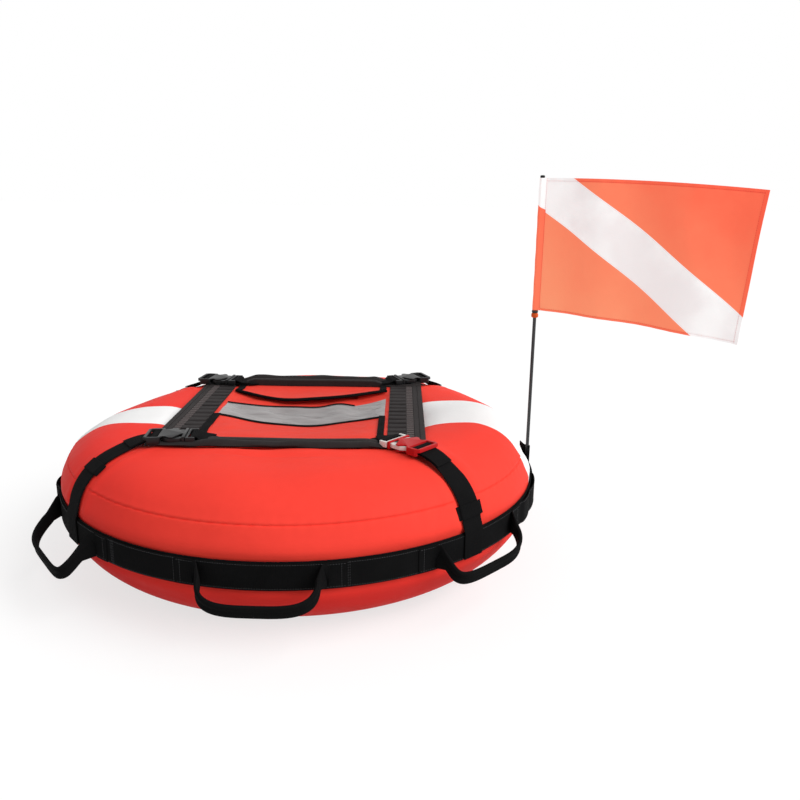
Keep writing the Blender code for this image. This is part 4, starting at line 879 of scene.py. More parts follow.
binding_over = CLOTH_THICKNESS + EDGE_GAP + BINDING_THICKNESS / 2
for label, middle, width, drawn in POCKET_SIDES:
    path = [on_panel(middle + drawn * float(smooth((-0.115 - y) / 0.06)), y, binding_over)
            for y in np.linspace(pocket_front, WINDOW_FRONT + BINDING_WIDTH / 2, 48)]
    dress(band("pocket_binding_" + label, path, (1, 0, 0), width, BINDING_THICKNESS), "pocket_binding")
path = [on_panel(x, WINDOW_FRONT, binding_over) for x in np.linspace(*BINDING_ENDS, 70)]
dress(band("pocket_binding_rear", path, (0, 1, 0), BINDING_WIDTH, BINDING_THICKNESS), "pocket_binding")
path = [on_panel(x, WINDOW_REAR, WINDOW_THICKNESS + 0.0009)
        for x in np.linspace(-SIDE_EDGE, WINDOW_CORNER[0], 90)]
dress(band("window_hem", path, (0, 1, 0), 0.0050, 0.0012))

# Side bands: padded webbing down each side of the panel, with cross ribs over the inner half, a column
# of open mesh beside them, and two plain tapes outside.
RIB_COUNT = 15
RIB_HEIGHT = 0.0012
BAND_THICKNESS = 0.0018
TAPE_PLACES = (0.0475, 0.0565)
TAPE_WIDTH = 0.0082
TAPE_THICKNESS = 0.0010
inner_edge = PANEL_HALF_WIDTH - BAND_WIDTH
pitch = 2 * PANEL_HALF_DEPTH / RIB_COUNT

# Grey webbing of the side bands and rails, lighter than the black webbing: partly its own grey, partly a
# painted highlight for the light on the panel's top.
grey_webbing_and_highlight = webbing("grey_webbing_and_highlight", 0.10, 30.0, (0.011, 0.009, 0.009), (0.036, 0.031, 0.031), 0.62, 0.0)
mesh_brown, shader, place = finish("mesh_tape", Roughness=0.7)
x, y = place.split()[:2]
knit = x.wave(0.0022) * y.wave(0.0022)
coat(shader, (knit * 0.5 + 0.5).mix((0.018, 0.013, 0.013), (0.080, 0.056, 0.054)), None, knit * 0.0002)

rib_tree, given = tree_of("ribs", "Long", "Wide", "High")
long = given["Long"]
first, last = (long.node("CombineXYZ", {1: long * share}) for share in (-0.5, 0.5))
spine = long.node("GeometryNodeCurvePrimitiveLine", {"Start": first, "End": last})
spine = long.node("GeometryNodeResampleCurve", {"Curve": spine, "Count": 5}, mode="COUNT")
ring = long.node("GeometryNodeCurvePrimitiveCircle", {"Resolution": 12, "Radius": 0.5})
size = long.node("CombineXYZ", {0: given["Wide"], 1: given["High"], 2: 1.0})
ring = long.node("GeometryNodeTransform", {"Geometry": ring, "Scale": size})
scatter(rib_tree, given, long.node("GeometryNodeCurveToMesh", {"Curve": spine, "Profile Curve": ring,
                                                               "Fill Caps": True}))
# Rows of ribs: the place of the row from the band's inner edge, its lift, its pitch as a share of the
# ribs', and the length, width share and height share of one rib.
RIB_ROWS = (("ribs", 0.0155, 0.0002, 1.0, 0.029, 0.62, 2.0, grey_webbing_and_highlight),
            ("mesh", 0.0370, 0.0, 0.5, 0.0115, 0.34, 1.6, mesh_brown))


def down_panel(x, half, over):
    """Points over the panel, from front to rear."""
    return [on_panel(x, y, over) for y in np.linspace(-half, half, 90)]


for side, label in ((-1, "left"), (1, "right")):
    name = "side_band_" + label
    path = down_panel(side * (PANEL_HALF_WIDTH - BAND_WIDTH / 2), PANEL_HALF_DEPTH, BAND_THICKNESS / 2)
    dress(band(name + "_webbing", path, (side, 0, 0), BAND_WIDTH, BAND_THICKNESS, grey_webbing_and_highlight), name)
    for part, place, lift, share, length, wide, high, look in RIB_ROWS:
        line = down_panel(side * (inner_edge + place), PANEL_HALF_DEPTH - pitch * share / 2,
                          BAND_THICKNESS + lift)
        sizes = {"Pitch": pitch * share * 0.999, "Long": length, "Wide": wide * pitch,
                 "High": high * RIB_HEIGHT, "Finish": look}
        dress(close(follow(name + "_" + part, [line], rib_tree, sizes)))
    for place in TAPE_PLACES:
        path = down_panel(side * (inner_edge + place), PANEL_HALF_DEPTH, BAND_THICKNESS + TAPE_THICKNESS / 2)
        dress(band("%s_tape_%d" % (name, place * 10000), path, (side, 0, 0), TAPE_WIDTH, TAPE_THICKNESS,
                   grey_webbing_and_highlight))

# Rails: doubled webbing across the panel's front and rear, a flat hem with a rolled edge outside it,
# pulled wavy by the buckles that hang on its ends.
RAIL_NEAR = PANEL_HALF_DEPTH + EDGE_GAP
RAIL_COLUMNS = 150
# Each rail: its end of the panel, and how much higher its top and its underside stand in the middle.
RAILS = ((-1, "front", 0.0046, 0.0024), (1, "rear", 0.0085, 0.0010))
rail_middle = (RAIL_NEAR + PANEL_HALF_DEPTH + RAIL_WIDTH) / 2


def rail_outline(x, high, low):
    """Section of a rail at one place: hem on the panel's side, roll on the outer side. It stands higher
    between the buckles, by the given heights of its top and its underside."""
    held = float(smooth((0.150 - abs(x)) / 0.035))
    top, under = high * held, low * held
    full = 1 + 0.12 * math.sin(x / 0.021 + 0.6) + 0.06 * math.sin(x / 0.009)
    pinch = 0.0014 * math.sin(x / 0.026 + 2.0) + 0.0005 * math.sin(x / 0.010)
    hem = [(-0.0168, 0.0026), (-0.0155, 0.0036), (-0.0100, 0.0042), (-0.0052, 0.0038), (-0.0034, 0.0028)]
    roll = [(-0.0018, 0.0012), (0.0002, 0.0012)]
    roll += [(a, b * full) for a, b in ((0.0020, 0.0038), (0.0050, 0.0060), (0.0086, 0.0070),
                                        (0.0118, 0.0066), (0.0146, 0.0052))]
    upper = [(a, b + top) for a, b in hem + [(a + pinch, b) for a, b in roll]]
    lower = [(0.0168, 0.0014 + under), (0.0150, 0.0002 + under), (0.0100, under * 0.6), (0.0, 0.0),
             (-0.0100, 0.0)]
    return [(-0.0168, 0.0004), *upper, (0.0166 + pinch, 0.0034 * full + top * 0.7), *lower]


for end, label, high, low in RAILS:
    xs = np.linspace(-PANEL_HALF_WIDTH, PANEL_HALF_WIDTH, RAIL_COLUMNS) * end
    path = [on_panel(x, end * (rail_middle + 0.0007 * math.sin(x / 0.027)), 0.0) for x in xs]
    # The rails wear the grey webbing, partly a painted highlight along their lit rolls.
    rail = band("rail_" + label + "_webbing", path, (0, end, 0), look=grey_webbing_and_highlight,
                outline=[rail_outline(x, high, low) for x in xs])
    dress(rail, "rail_" + label)

# Flap over the mouth: red cloth with a thick black-bound front edge that hangs forward, webbing down
# both its sides, and a sewn rear edge. It stays nearly level over the cloth that sags under it.
FLAP_HINGE_Y = 0.154
FLAP_ROOT_Y = 0.158            # from here forward it is free
FLAP_SEWN_Y = 0.166
FLAP_SIDE_Y = 0.130
FLAP_MIDDLE_Y = 0.074
FLAP_THICKNESS = 0.0012
FLAP_LOW = 0.2279
FLAP_BINDING = 0.007
FLAP_SIDE = (0.0130, 0.0018)   # width and thickness of the webbing down its sides
FLAP_COLUMNS = 96
FLAP_ROWS = 24
# Height of its front edge, from left to right
FLAP_EDGE = ((-0.150, 0.2330), (-0.128, 0.2318), (-0.092, 0.2286), (-0.056, 0.2282), (-0.022, 0.2298),
             (0.027, 0.2321), (0.076, 0.2354), (0.110, 0.2356), (0.150, 0.2338))


def flap_front(x):
    """Place of the flap's curved front edge."""
    return FLAP_MIDDLE_Y + (FLAP_SIDE_Y - FLAP_MIDDLE_Y) * (x / SIDE_EDGE) ** 2


def flap_point(x, y, over=0.0):
    """A point on the flap: it lies on the panel at its hinge and stands off it at its front edge."""
    free = float(smooth((FLAP_ROOT_Y - y) / (FLAP_ROOT_Y - flap_front(x))))
    sewn = FLAP_LOW - float(panel_sag(x, max(y, FLAP_HINGE_Y - 0.010)))
    places, heights = zip(*FLAP_EDGE)
    edge = float(np.mean(np.interp(x + np.linspace(-0.016, 0.016, 9), places, heights)))
    ripple = 0.0007 * free * math.sin(x / 0.019 + 0.5)
    ripple = ripple + 0.0006 * math.sin(x / 0.008 + y / 0.01) * (1 - free) * free
    return np.array((x, y, sewn * (1 - free) + (edge - 0.0028) * free + ripple + over))


xs = np.linspace(-SIDE_EDGE, SIDE_EDGE, FLAP_COLUMNS + 1)
rows = [[flap_point(x, flap_front(x) + (FLAP_SEWN_Y - flap_front(x)) * k / FLAP_ROWS, FLAP_THICKNESS / 2)
         for x in xs] for k in range(FLAP_ROWS + 1)]
flap = skin("flap_draped", rows, np.linspace(0, FLAP_SEWN_Y - FLAP_MIDDLE_Y, FLAP_ROWS + 1), xs, plain_red,
            loop_across=False)
sewn, free = (0, FLAP_ROOT_Y, FLAP_LOW), (0, FLAP_HINGE_Y - 0.006, FLAP_LOW)
bend(walled(flap, FLAP_THICKNESS), "flap", sewn, free, "flap", slot="red_cover")
path = [flap_point(x, flap_front(x) + FLAP_BINDING / 2 - 0.0016, FLAP_THICKNESS / 2 - 0.0010) for x in xs]
trims = [dress(band("flap_edge_binding", path, (0, 1, 0), FLAP_BINDING, 0.0056), "flap_binding", body="flap")]
for side, label in ((-1, "left"), (1, "right")):
    x = side * (SIDE_EDGE - FLAP_SIDE[0] / 2)
    path = [flap_point(x, y, FLAP_THICKNESS + 0.0010) for y in np.linspace(0.1765, flap_front(x) + 0.002, 40)]
    trims.append(bend(band("flap_side_" + label, path, (1, 0, 0), *FLAP_SIDE), "flap", sewn, free))
line = [flap_point(x, FLAP_SEWN_Y - 0.004, FLAP_THICKNESS + THREAD_OUT) for x in xs]
dress(sew("flap_stitches", [line], red_thread), slot="red_cover")

# Buckles: moulded side-release buckles. The front right one is red with a white male half, the others
# are black. The male half shows in the open waist of the female half.
BUCKLE_LOOKS = {"front_right": ("red_plastic", "white_plastic")}
BUCKLE_ROUNDING = 0.0007
PLASTIC_COLOURS = {"black_plastic": ((0.006, 0.006, 0.0065), (0.014, 0.014, 0.015)),
                   "red_plastic": ((0.42, 0.010, 0.012), (0.52, 0.018, 0.020)),
                   "white_plastic": ((0.72, 0.71, 0.68), (0.80, 0.79, 0.76)),
                   "orange_plastic": ((0.75, 0.10, 0.022), (0.88, 0.15, 0.035))}
for name, (dark, light) in PLASTIC_COLOURS.items():
    mottled(name, (120.0, 3.0), dark, light, (0.14, 0.32), (1500.0, 0.00004),
            Specular_IOR_Level=0.20 if name == "black_plastic" else 0.05)
for corner in STRAP_AZIMUTHS:
    female, male = BUCKLE_LOOKS.get(corner, ("black_plastic", "black_plastic"))
    name = "buckle_" + corner
    crisp(name + "_female", female, width=BUCKLE_ROUNDING)
    crisp(name + "_male", male, width=BUCKLE_ROUNDING)
    for prong in ("_prong_a", "_prong_b"):
        crisp(name + prong, male, corner + prong)

# Straps: webbing from the belt up over the cover to each buckle, round its bar and back on itself. The
# rails' webbing holds the other side of each buckle in the same way.
BUCKLE_FRAMES = {"front_left": (-0.178, -0.186, -1, -1, 5), "front_right": (0.185, -0.213, 1, -1, 40),
                 "rear_right": (0.188, 0.216, 1, 1, 24), "rear_left": (-0.187, 0.188, -1, 1, 8)}
BUCKLE_Z = 0.2363
BAR_HEIGHT = 0.0044
STRAP_BAR = (0.0210, 0.0045)   # the female's bar: its inner face from the middle, and its depth
TAB_BAR = (0.0325, 0.0055)     # the male's bar
SKIN_GAP = 0.0004
STRAP_LIFT = 0.0006            # of webbing over the cover, and over webbing that it is folded back on
STRAP_RUN = 0.0615
STRAP_FALLS = {"front_left": 0.0, "front_right": 0.0, "rear_right": 0.45, "rear_left": 0.45}
STRAP_TAIL = (0.046, 0.0072)   # length of the folded tail, and the length over which it comes down
TAB_REACH = 0.060
TAB_TAIL = (0.026, 0.011)
TAB_ROOT = 0.022               # width of the rails' webbing where it leaves the rail
TURN_REACH = BAR_HEIGHT / 2 + SKIN_GAP + WEBBING_THICKNESS / 2
TURN_DEPTH = WEBBING_THICKNESS + SKIN_GAP
TURN_ROUNDNESS = 0.72
STRAP_LOW_ANGLE = 12
KEEPER_ANGLES = {"front_left": 48, "front_right": 20, "rear_right": 20, "rear_left": 48}
FREE_STATIONS = 24
TURN_STATIONS = 12
SEWN_MIDDLE = LAYER_OUT + 0.0005 + WEBBING_THICKNESS / 2


def hermite(start, leave, end, arrive, share):
    """A point of the curve between two points, given its run at both."""
    a = 2 * share ** 3 - 3 * share ** 2 + 1
    b = share ** 3 - 2 * share ** 2 + share
    c = -2 * share ** 3 + 3 * share ** 2
    d = share ** 3 - share ** 2
    return start * a + leave * b + end * c + arrive * d


def bar_path(start, out, bar, far, arrive, rest, tail, settle, fall=0.0):
    """Path of webbing that comes along rest to far, passes under a bar, turns round it and lies back on
    itself, with the way its width lies."""
    clear = bar + 2 * WEBBING_THICKNESS
    knee = start - UP * TURN_REACH + out * clear
    run = np.linalg.norm(far - knee)

    def low(share):
        return hermite(knee, (out - UP * fall) * run, far, arrive * run, share)

    def bearing(share):
        along = unit(low(min(share + 0.01, 1)) - low(max(share - 0.01, 0)))
        return unit(np.cross(UP, along)), along

    shares = 1 - np.arange(FREE_STATIONS + 1) / FREE_STATIONS
    stations = [*rest, *((low(share), bearing(share)[0]) for share in shares)]
    for a in np.radians(np.linspace(-90, 90, TURN_STATIONS + 1)):
        back = TURN_DEPTH * abs(math.cos(a)) ** TURN_ROUNDNESS
        up = math.copysign(TURN_REACH * abs(math.sin(a)) ** TURN_ROUNDNESS, math.sin(a))
        stations.append((start - out * back + UP * up, bearing(0)[0]))
    leave = bar + SKIN_GAP
    stops = [*np.linspace(leave, leave + settle, 9), *np.linspace(leave + settle, tail, 13)[1:]]
    for d in stops:
        share = (d - clear) / run
        across, along = bearing(max(share, 0))
        level = start + out * d + UP * TURN_REACH
        laid = low(share) + np.cross(along, across) * (WEBBING_THICKNESS + STRAP_LIFT)
        height = float(smooth((d - leave) / settle))
        laid[2] = level[2] * (1 - height) + laid[2] * height
        stations.append((laid, across))
    return [np.array(column) for column in zip(*stations)]


def crest_angle(radius):
    """Section angle of the crest at a radius."""
    share = (radius - RING_RADIUS) / TUBE_HALF_WIDTH
    return math.degrees(math.acos(share ** (CREST_FULLNESS / 2)))


def strap_place(azimuth, angle):
    """Radius and height of a strap's middle, where it lies on the cover."""
    offset = STRAP_LIFT + WEBBING_THICKNESS / 2 - float(cover_dip(azimuth, angle))
    return section(np.array(angle), offset)


for corner, azimuth in STRAP_AZIMUTHS.items():
    bx, by, side, end, slant = BUCKLE_FRAMES[corner]
    a = math.radians(slant)
    out = np.array((side * math.cos(a), end * math.sin(a), 0.0))
    middle = np.array((bx, by, BUCKLE_Z))
    start = middle + out * STRAP_BAR[0]
    landing = crest_angle(float(np.hypot(start[0], start[1])) + STRAP_RUN)
    far, ahead, behind = (around(azimuth, *strap_place(azimuth, landing + step)) for step in (0, -1, 1))
    rest = [(SEWN_MIDDLE, h) for h in (BELT_CENTRE - WEBBING_WIDTH / 2, BELT_CENTRE,
                                       BELT_CENTRE + BELT_WIDTH / 2)]
    rest += [strap_place(azimuth, angle) for angle in np.arange(STRAP_LOW_ANGLE, landing, 2.0)]
    rest = [(around(azimuth, *place), np.cross(UP, outward(azimuth))) for place in rest]
    points, sides = bar_path(start, out, STRAP_BAR[1], far, unit(ahead - behind), rest, *STRAP_TAIL,
                             fall=STRAP_FALLS[corner])
    dress(band("strap_" + corner + "_webbing", points, sides), "strap_" + corner)

    start = middle - out * TAB_BAR[0]
    far = on_panel(start[0] - side * TAB_REACH, end * (rail_middle + 0.003), 0.0018)
    points, sides = bar_path(start, -out, TAB_BAR[1], far, np.array((-side, 0.0, 0.0)), [], *TAB_TAIL)
    widths = np.full(len(points), WEBBING_WIDTH)
    narrow = 1 - smooth(np.linspace(0, 1.25, FREE_STATIONS + 1))
    widths[:FREE_STATIONS + 1] -= (WEBBING_WIDTH - TAB_ROOT) * narrow
    tab = band("rail_tab_" + corner, points, sides,
               outline=[band_outline(width, WEBBING_THICKNESS) for width in widths])
    dress(tab, "rail_front" if end < 0 else "rail_rear")

# Keepers: short webbing bridges sewn to the cover, under which each strap passes.
KEEPER_WIDTH = 0.020
KEEPER_THICKNESS = 0.0012
KEEPER_OVERHANG = 0.006
KEEPER_GAP = 0.0003
low = KEEPER_GAP + KEEPER_THICKNESS / 2
high = STRAP_LIFT + WEBBING_THICKNESS + KEEPER_GAP + KEEPER_THICKNESS / 2
half = WEBBING_WIDTH / 2
for corner, azimuth in STRAP_AZIMUTHS.items():
    angle = np.array(float(KEEPER_ANGLES[corner]))
    across = np.cross(UP, outward(azimuth))
    dip = -float(cover_dip(azimuth, angle))
    radius, height = section(angle, dip)
    foot = around(azimuth, radius, height)
    normal = around(azimuth, *section(angle, dip + 1.0)) - foot
    points = []
    for y in np.linspace(half + KEEPER_OVERHANG, -half - KEEPER_OVERHANG, 40):
        edge = float(smooth((half + 2 * KEEPER_THICKNESS - abs(y)) / 0.0024))
        lift = low * (1 - edge) + high * edge - y * y / (2 * radius) * (1 - edge)
        points.append(foot + across * y + normal * lift)
    keeper = band("keeper_" + corner, points, np.cross(across, normal), KEEPER_WIDTH, KEEPER_THICKNESS)
    dress(keeper, "strap_keeper_" + corner)

# Mast holder: a webbing loop on the belt round the mast, a strip down from it, and the pointed pocket
# that the mast's foot stands in.
MAST_AZIMUTH = 97.0
MAST_RADIUS = 0.003
MAST_CLEARANCE = 0.0004
HOLDER_LOW = -0.026
HOLDER_HIGH = 0.032
HOLDER_TAIL = 0.030
STRIP_WIDTH = 0.012
POCKET_HIGH = -0.038
POCKET_WALL = 0.0012
POCKET_TOE = 0.0022
POCKET_TAPER = -0.058
MAST_FOOT = -0.078
mast_out = SEWN_OUT + MAST_CLEARANCE + MAST_RADIUS
mast_radial = outward(MAST_AZIMUTH)
mast_side = np.cross(UP, mast_radial)
mast_base = around(MAST_AZIMUTH, mast_out, 0.0)
grip = MAST_RADIUS + MAST_CLEARANCE + WEBBING_THICKNESS / 2
half_loop = []
for k in range(4):
    a = HOLDER_TAIL / SEWN_MIDDLE * (1 - 0.55 * k / 3)
    half_loop.append((SEWN_MIDDLE * math.sin(a), SEWN_MIDDLE * math.cos(a)))
half_loop += [(2.3 * grip, SEWN_MIDDLE + 0.15 * grip), (1.45 * grip, SEWN_MIDDLE + 0.5 * grip)]
half_loop += [(grip * math.cos(a), mast_out + grip * math.sin(a)) for a in np.radians(range(-10, 90, 10))]
plan = half_loop + [(0, mast_out + grip)] + [(-x, y) for x, y in reversed(half_loop)]
middle = UP * (EQUATOR_Z + (HOLDER_LOW + HOLDER_HIGH) / 2)
holder = band("mast_holder", [mast_side * x + mast_radial * y + middle for x, y in plan], UP,
              HOLDER_HIGH - HOLDER_LOW)
dress(holder, "mast_loop")
points = around(MAST_AZIMUTH, SEWN_MIDDLE,
                np.linspace(POCKET_HIGH + EDGE_GAP, BELT_CENTRE + BELT_WIDTH / 2, 24))
dress(band("mast_strip_webbing", points, mast_side, STRIP_WIDTH), "mast_strip")


def turned(name, outline, look, base, sides=40, sharp=35):
    """A turned piece round an upright axis: (radius, height) points."""
    a = np.arange(sides) * 2 * math.pi / sides
    rows = [np.stack((np.cos(a) * r, np.sin(a) * r, np.full(sides, h)), axis=1) + base
            for r, h in outline]
    flat = np.array(outline)
    round_length = np.linspace(0, 2 * math.pi * flat[:, 0].max(), sides + 1)
    return close(skin(name, rows, lengths(flat), round_length, look, caps=True), sharp)


bore = MAST_RADIUS + MAST_CLEARANCE
pocket_out = bore + POCKET_WALL
seat = MAST_FOOT - EDGE_GAP
toe_low = seat - POCKET_WALL - 2 * POCKET_TOE
outline = [(0.0006, seat), (bore, seat), (bore, POCKET_HIGH), (pocket_out, POCKET_HIGH),
           (pocket_out, POCKET_TAPER), (pocket_out - 0.0003, MAST_FOOT + 0.002),
           (pocket_out - 0.0012, MAST_FOOT - 0.001), (POCKET_TOE, toe_low + 0.0008), (0.0006, toe_low)]
dress(turned("mast_pocket_webbing", outline, webbing_black, mast_base), "mast_pocket")

# Mast: a black fibreglass rod with a plastic tip, a rubber collar and an orange stop that carry the
# flag's sleeve.
MAST_TOP = 0.5095
ROD_EDGE = 0.0006
rod_black = mottled("mast_rod", (40.0, 3.0), (0.010, 0.010, 0.011), (0.028, 0.028, 0.030), (0.2, 0.25),
                    (800.0, 0.00003))
rim = MAST_RADIUS - ROD_EDGE
outline = [(0.0004, MAST_TOP), (rim, MAST_TOP), (MAST_RADIUS, MAST_TOP - ROD_EDGE),
           (MAST_RADIUS, MAST_FOOT + ROD_EDGE), (rim, MAST_FOOT), (0.0004, MAST_FOOT)]
dress(turned("mast_rod", outline, rod_black, mast_base, 24), "mast", body="mast", slot="mast_rod")
crisp("mast_tip", "black_plastic", "mast", 0.0006, 30)
crisp("mast_collar", "collar_rubber", "mast", angle=30, look=rubber)
crisp("mast_stop", "orange_plastic", "mast", 0.0005, 30)

# Flag: orange-red nylon with a white diagonal stripe, hemmed on three sides, its hoist sewn into the
# sleeve that turns on the mast. The cloth glows a little in its colour, painted light for the daylight
# through it, and its red is painted paler towards the lower hoist corner for the same light.
FLAG_LENGTH = 0.345
FLAG_HEIGHT = 0.224
FLAG_THICKNESS = 0.0006
FLAG_HEADING = -37
FLAG_TWIST = 4
FLAG_STRETCH = 0.022
FLAG_DROOP = 0.016
FLAG_RIPPLE = 0.0045
FLAG_RIPPLES = 2.3
FLAG_LOW = 0.4036
FLAG_HEM = 0.0060
FLAG_COLUMNS = 150
FLAG_ROWS = 84
SLEEVE_IN = 0.0034
SLEEVE_OUT = 0.0042
SLEEVE_ROUND = 0.0049          # the sleeve's cloth round the mast, and its reach to the seam
SLEEVE_SEAM = 0.0094
SLEEVE_SIDES = 32
SLEEVE_ROWS = 60
HEM_THREAD = 0.6               # place of the lower hem's thread, as a share of the hem

flag_nylon, shader, place = finish("flag_nylon", Specular_IOR_Level=0.1, Emission_Strength=0.43)
u, v = place.weave()
slant = u / FLAG_LENGTH + v / FLAG_HEIGHT - 1.0
drift = u / FLAG_LENGTH
stripe = (slant + 0.24 - drift * 0.05).step(0.006) * (drift * 0.04 + 0.14 - slant).step(0.006)
cloud = place.noise(12.0, 3.0)
hem = (u.math("GREATER_THAN", FLAG_LENGTH - FLAG_HEM) + v.math("GREATER_THAN", FLAG_HEIGHT - FLAG_HEM)
       + v.math("LESS_THAN", FLAG_HEM * HEM_THREAD) + u.math("LESS_THAN", 0.0)).clamp()
# Painted light: the red is paler towards the lower hoist corner and deeper towards the upper fly.
red = (slant * 0.55 + cloud * 0.5 + 0.25).clamp().mix((0.98, 0.330, 0.175), (0.98, 0.155, 0.082))
red = (hem * 0.55).mix(red, (0.95, 0.100, 0.055))
pale = cloud.ease(0.40, 0.60).mix((0.88, 0.845, 0.845), (0.95, 0.945, 0.942))
colour = stripe.mix(red, pale)
relief = place.threads(0.0009, 0.000015) + (place.noise(60.0, 3.0) - 0.5) * 0.0005
coat(shader, colour, cloud * 0.1 + 0.6, relief)
# Painted light: the cloth glows in its own colour.
shader.id_data.links.new(colour.socket, shader.inputs["Emission Color"])

hoist = np.array((mast_base[0], mast_base[1], 0.0))


def flag_axes(h):
    """The way to the fly and the way out of the flag, at a share of its height."""
    heading = math.radians(FLAG_HEADING + FLAG_TWIST * (2 * h - 1))
    return (np.array((math.cos(heading), math.sin(heading), 0.0)),
            np.array((-math.sin(heading), math.cos(heading), 0.0)))


def flag_point(s, h, off=0.0):
    """A point of the flag: s from the hoist to the fly, h from the lower to the upper edge."""
    fly, facing = flag_axes(h)
    wave = math.sin(2 * math.pi * FLAG_RIPPLES * s + 1.2 * h)
    ripple = FLAG_RIPPLE * wave * float(smooth(s / 0.25)) + 0.0012 * math.sin(17 * s + 9 * h) * s
    edge = min(s * FLAG_LENGTH + 1, (1 - s) * FLAG_LENGTH, h * FLAG_HEIGHT, (1 - h) * FLAG_HEIGHT)
    pucker = 0.0004 * math.sin(s * FLAG_LENGTH / 0.004) * float(smooth(1 - edge / 0.016))
    reach = SLEEVE_OUT + 0.0003 + FLAG_LENGTH * s * (1 + FLAG_STRETCH * h * h)
    spot = hoist + fly * reach + facing * (ripple + pucker + off)
    return spot + UP * (FLAG_LOW + FLAG_HEIGHT * h - FLAG_DROOP * s ** 2)


rows = [[flag_point(c / FLAG_COLUMNS, r / FLAG_ROWS) for c in range(FLAG_COLUMNS + 1)]
        for r in range(FLAG_ROWS + 1)]
flag = skin("flag_cloth_hung", rows, np.linspace(0, FLAG_HEIGHT, FLAG_ROWS + 1),
            np.linspace(0, FLAG_LENGTH, FLAG_COLUMNS + 1), flag_nylon, loop_across=False)
dress(walled(flag, FLAG_THICKNESS), "flag", body="flag", slot="flag_cloth")

rows = []
turns = np.arange(SLEEVE_SIDES) * 2 * math.pi / SLEEVE_SIDES
to_seam = np.maximum(np.cos(turns), 0)
for h in np.linspace(0, 1, SLEEVE_ROWS):
    fly, facing = flag_axes(h)
    full = SLEEVE_ROUND + 0.0002 * math.sin(h * 37)
    reach = full * np.cos(turns) + (SLEEVE_SEAM - SLEEVE_ROUND) * to_seam ** 3
    side = full * np.sin(turns) * (1 - 0.75 * to_seam ** 2)
    rows.append(hoist + reach[:, None] * fly + side[:, None] * facing + UP * (FLAG_LOW + FLAG_HEIGHT * h))
for h in (1, 0):
    fly, facing = flag_axes(h)
    rows.append(hoist + SLEEVE_IN * (np.cos(turns)[:, None] * fly + np.sin(turns)[:, None] * facing)
                + UP * (FLAG_LOW + FLAG_HEIGHT * h))
up = [*np.linspace(0, FLAG_HEIGHT, SLEEVE_ROWS), FLAG_HEIGHT, 0.0, 0.0]
sleeve = skin("flag_sleeve_sewn", rows, up, np.linspace(-0.040, -0.001, SLEEVE_SIDES + 1), flag_nylon,
              loop_along=True)
dress(close(sleeve), "flag_sleeve", body="flag", slot="flag_cloth")
for cloth in (flag, sleeve):
    for entry in cloth.data.uv_layers[0].data:
        entry.uv = (entry.uv[1], entry.uv[0])
inset, high = 1 - FLAG_HEM / FLAG_LENGTH, 1 - FLAG_HEM * 0.8 / FLAG_HEIGHT
low, seam = FLAG_HEM * HEM_THREAD / FLAG_HEIGHT, (SLEEVE_SEAM - SLEEVE_OUT - 0.0010) / FLAG_LENGTH
lines = []
for side in (-1, 1):
    off = side * (FLAG_THICKNESS / 2 + THREAD_OUT)
    lines += [[flag_point(s, h, off) for s in np.linspace(seam, inset, 160)] for h in (high, low)]
    lines.append([flag_point(inset, h, off) for h in np.linspace(low, high, 90)])
    lines.append([flag_point(seam, h, side * 0.0009) for h in np.linspace(0.005, 0.995, 90)])
seams = dress(sew("flag_stitches", lines, red_thread), body="flag", slot="flag_cloth")

# Floor of the well: coated black cloth sewn into the cover's lowest seam, on a webbing cross that the
# whole buoy stands on.
FLOOR_RADIUS = 0.278
FLOOR_LOW = 0.0019
FLOOR_THICKNESS = 0.0012
CROSS_WIDTH = 0.040
CROSS_REACH = 0.300
FLOOR_EDGE = 0.0005
floor_black, shader, place = finish("floor_cloth")
x, y = place.split()[:2]
stain = place.noise(18.0, 4.0)
coat(shader, stain.mix((0.012, 0.012, 0.013), (0.034, 0.034, 0.037)), stain * 0.2 + 0.6,
     x.wave(0.0020) * y.wave(0.0020) * 0.00004)
floor_high = FLOOR_LOW + FLOOR_THICKNESS
rim = FLOOR_RADIUS - FLOOR_EDGE
outline = [(0.001, FLOOR_LOW), (rim, FLOOR_LOW), (FLOOR_RADIUS, FLOOR_LOW + FLOOR_THICKNESS / 2),
           (rim, floor_high), (0.001, floor_high)]
dress(turned("well_floor_cloth", outline, floor_black, np.zeros(3), 160), "well_floor", slot="floor_cloth")
middle = WEBBING_THICKNESS / 2
path = [(x, 0.0, middle) for x in np.linspace(-CROSS_REACH, CROSS_REACH, 60)]
dress(band("under_cross_long", path, (0, 1, 0), CROSS_WIDTH), "under_cross")
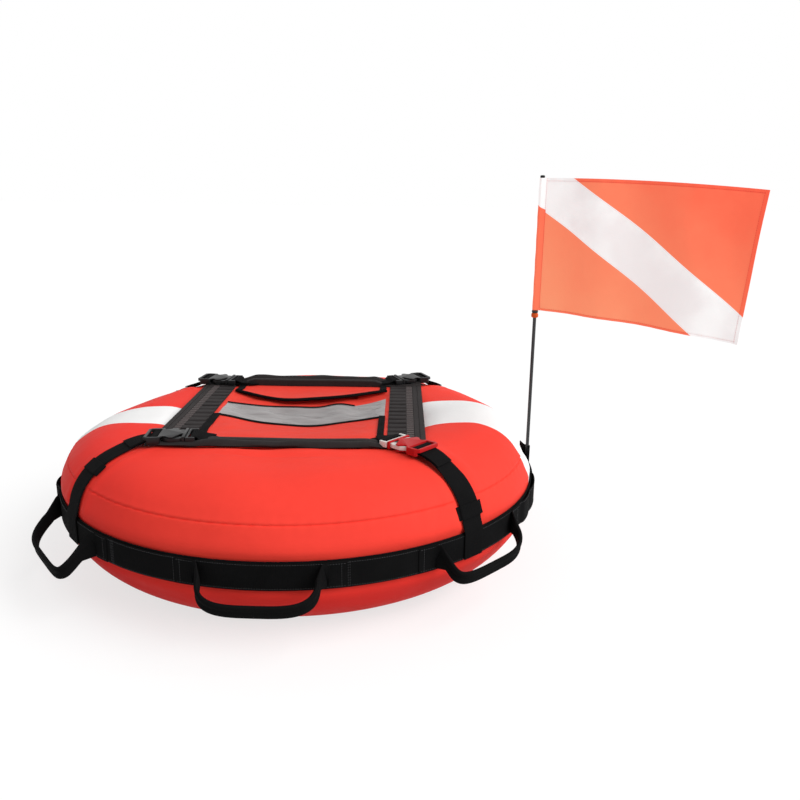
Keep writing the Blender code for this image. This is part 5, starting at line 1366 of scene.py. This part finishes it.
for side, label in ((-1, "front"), (1, "rear")):
    path = [(0.0, side * y, middle) for y in np.linspace(CROSS_WIDTH / 2 + 0.0002, CROSS_REACH, 30)]
    dress(band("under_cross_arm_" + label, path, (1, 0, 0), CROSS_WIDTH), "under_cross")

# Stage: a white floor and world, an even light from all round and a broad soft key from the upper
# right, so that the left side and the underside fall into shade.
KEY_DIRECTION = (0.85, -0.36, 0.76)
KEY_STRENGTH = 2.6
KEY_SPREAD = 50
SKY_STRENGTH = 0.48
FLOOR_GLOW = 0.70
STAGE_HALF = 30
STAGE_LEVEL = -0.0005


def seen_directly(start):
    """1 for rays from the camera, a gloss or a clear body, 0 for the rest."""
    eye, gloss, clear = (start.node("LightPath", output="Is %s Ray" % kind)
                         for kind in ("Camera", "Glossy", "Transmission"))
    return (eye + gloss + clear).clamp()


stage_white, shader, place = finish("stage_white")
glow = place.node("Emission", {"Color": (1, 1, 1, 1), "Strength": FLOOR_GLOW})
pale = place.node("BsdfDiffuse", {"Color": (0.33, 0.33, 0.33, 1)})
shown = place.node("AddShader", {0: glow, 1: pale})
grey = place.node("BsdfDiffuse", {"Color": (0.50, 0.50, 0.50, 1)})
both = place.node("MixShader", {0: seen_directly(place), 1: grey, 2: shown})
stage_white.node_tree.links.new(both.socket, stage_white.node_tree.nodes["Material Output"].inputs["Surface"])
corners = [(x * STAGE_HALF, y * STAGE_HALF, STAGE_LEVEL) for x, y in ((-1, -1), (1, -1), (1, 1), (-1, 1))]
mesh("stage_floor", corners, [], [(0, 1, 2, 3)], stage_white)

world = bpy.data.worlds.new("studio")
bpy.context.scene.world = world
world.use_nodes = True
strength = seen_directly(Wire(world.node_tree)) * (1 - SKY_STRENGTH) + SKY_STRENGTH
background = world.node_tree.nodes["Background"]
background.inputs["Color"].default_value = (1, 1, 1, 1)
world.node_tree.links.new(strength.socket, background.inputs["Strength"])
key = add("key", bpy.data.lights.new("key", "SUN"))
key.data.energy = KEY_STRENGTH
key.data.angle = math.radians(KEY_SPREAD)
key.matrix_world = Vector(KEY_DIRECTION).to_track_quat("Z", "Y").to_matrix().to_4x4()
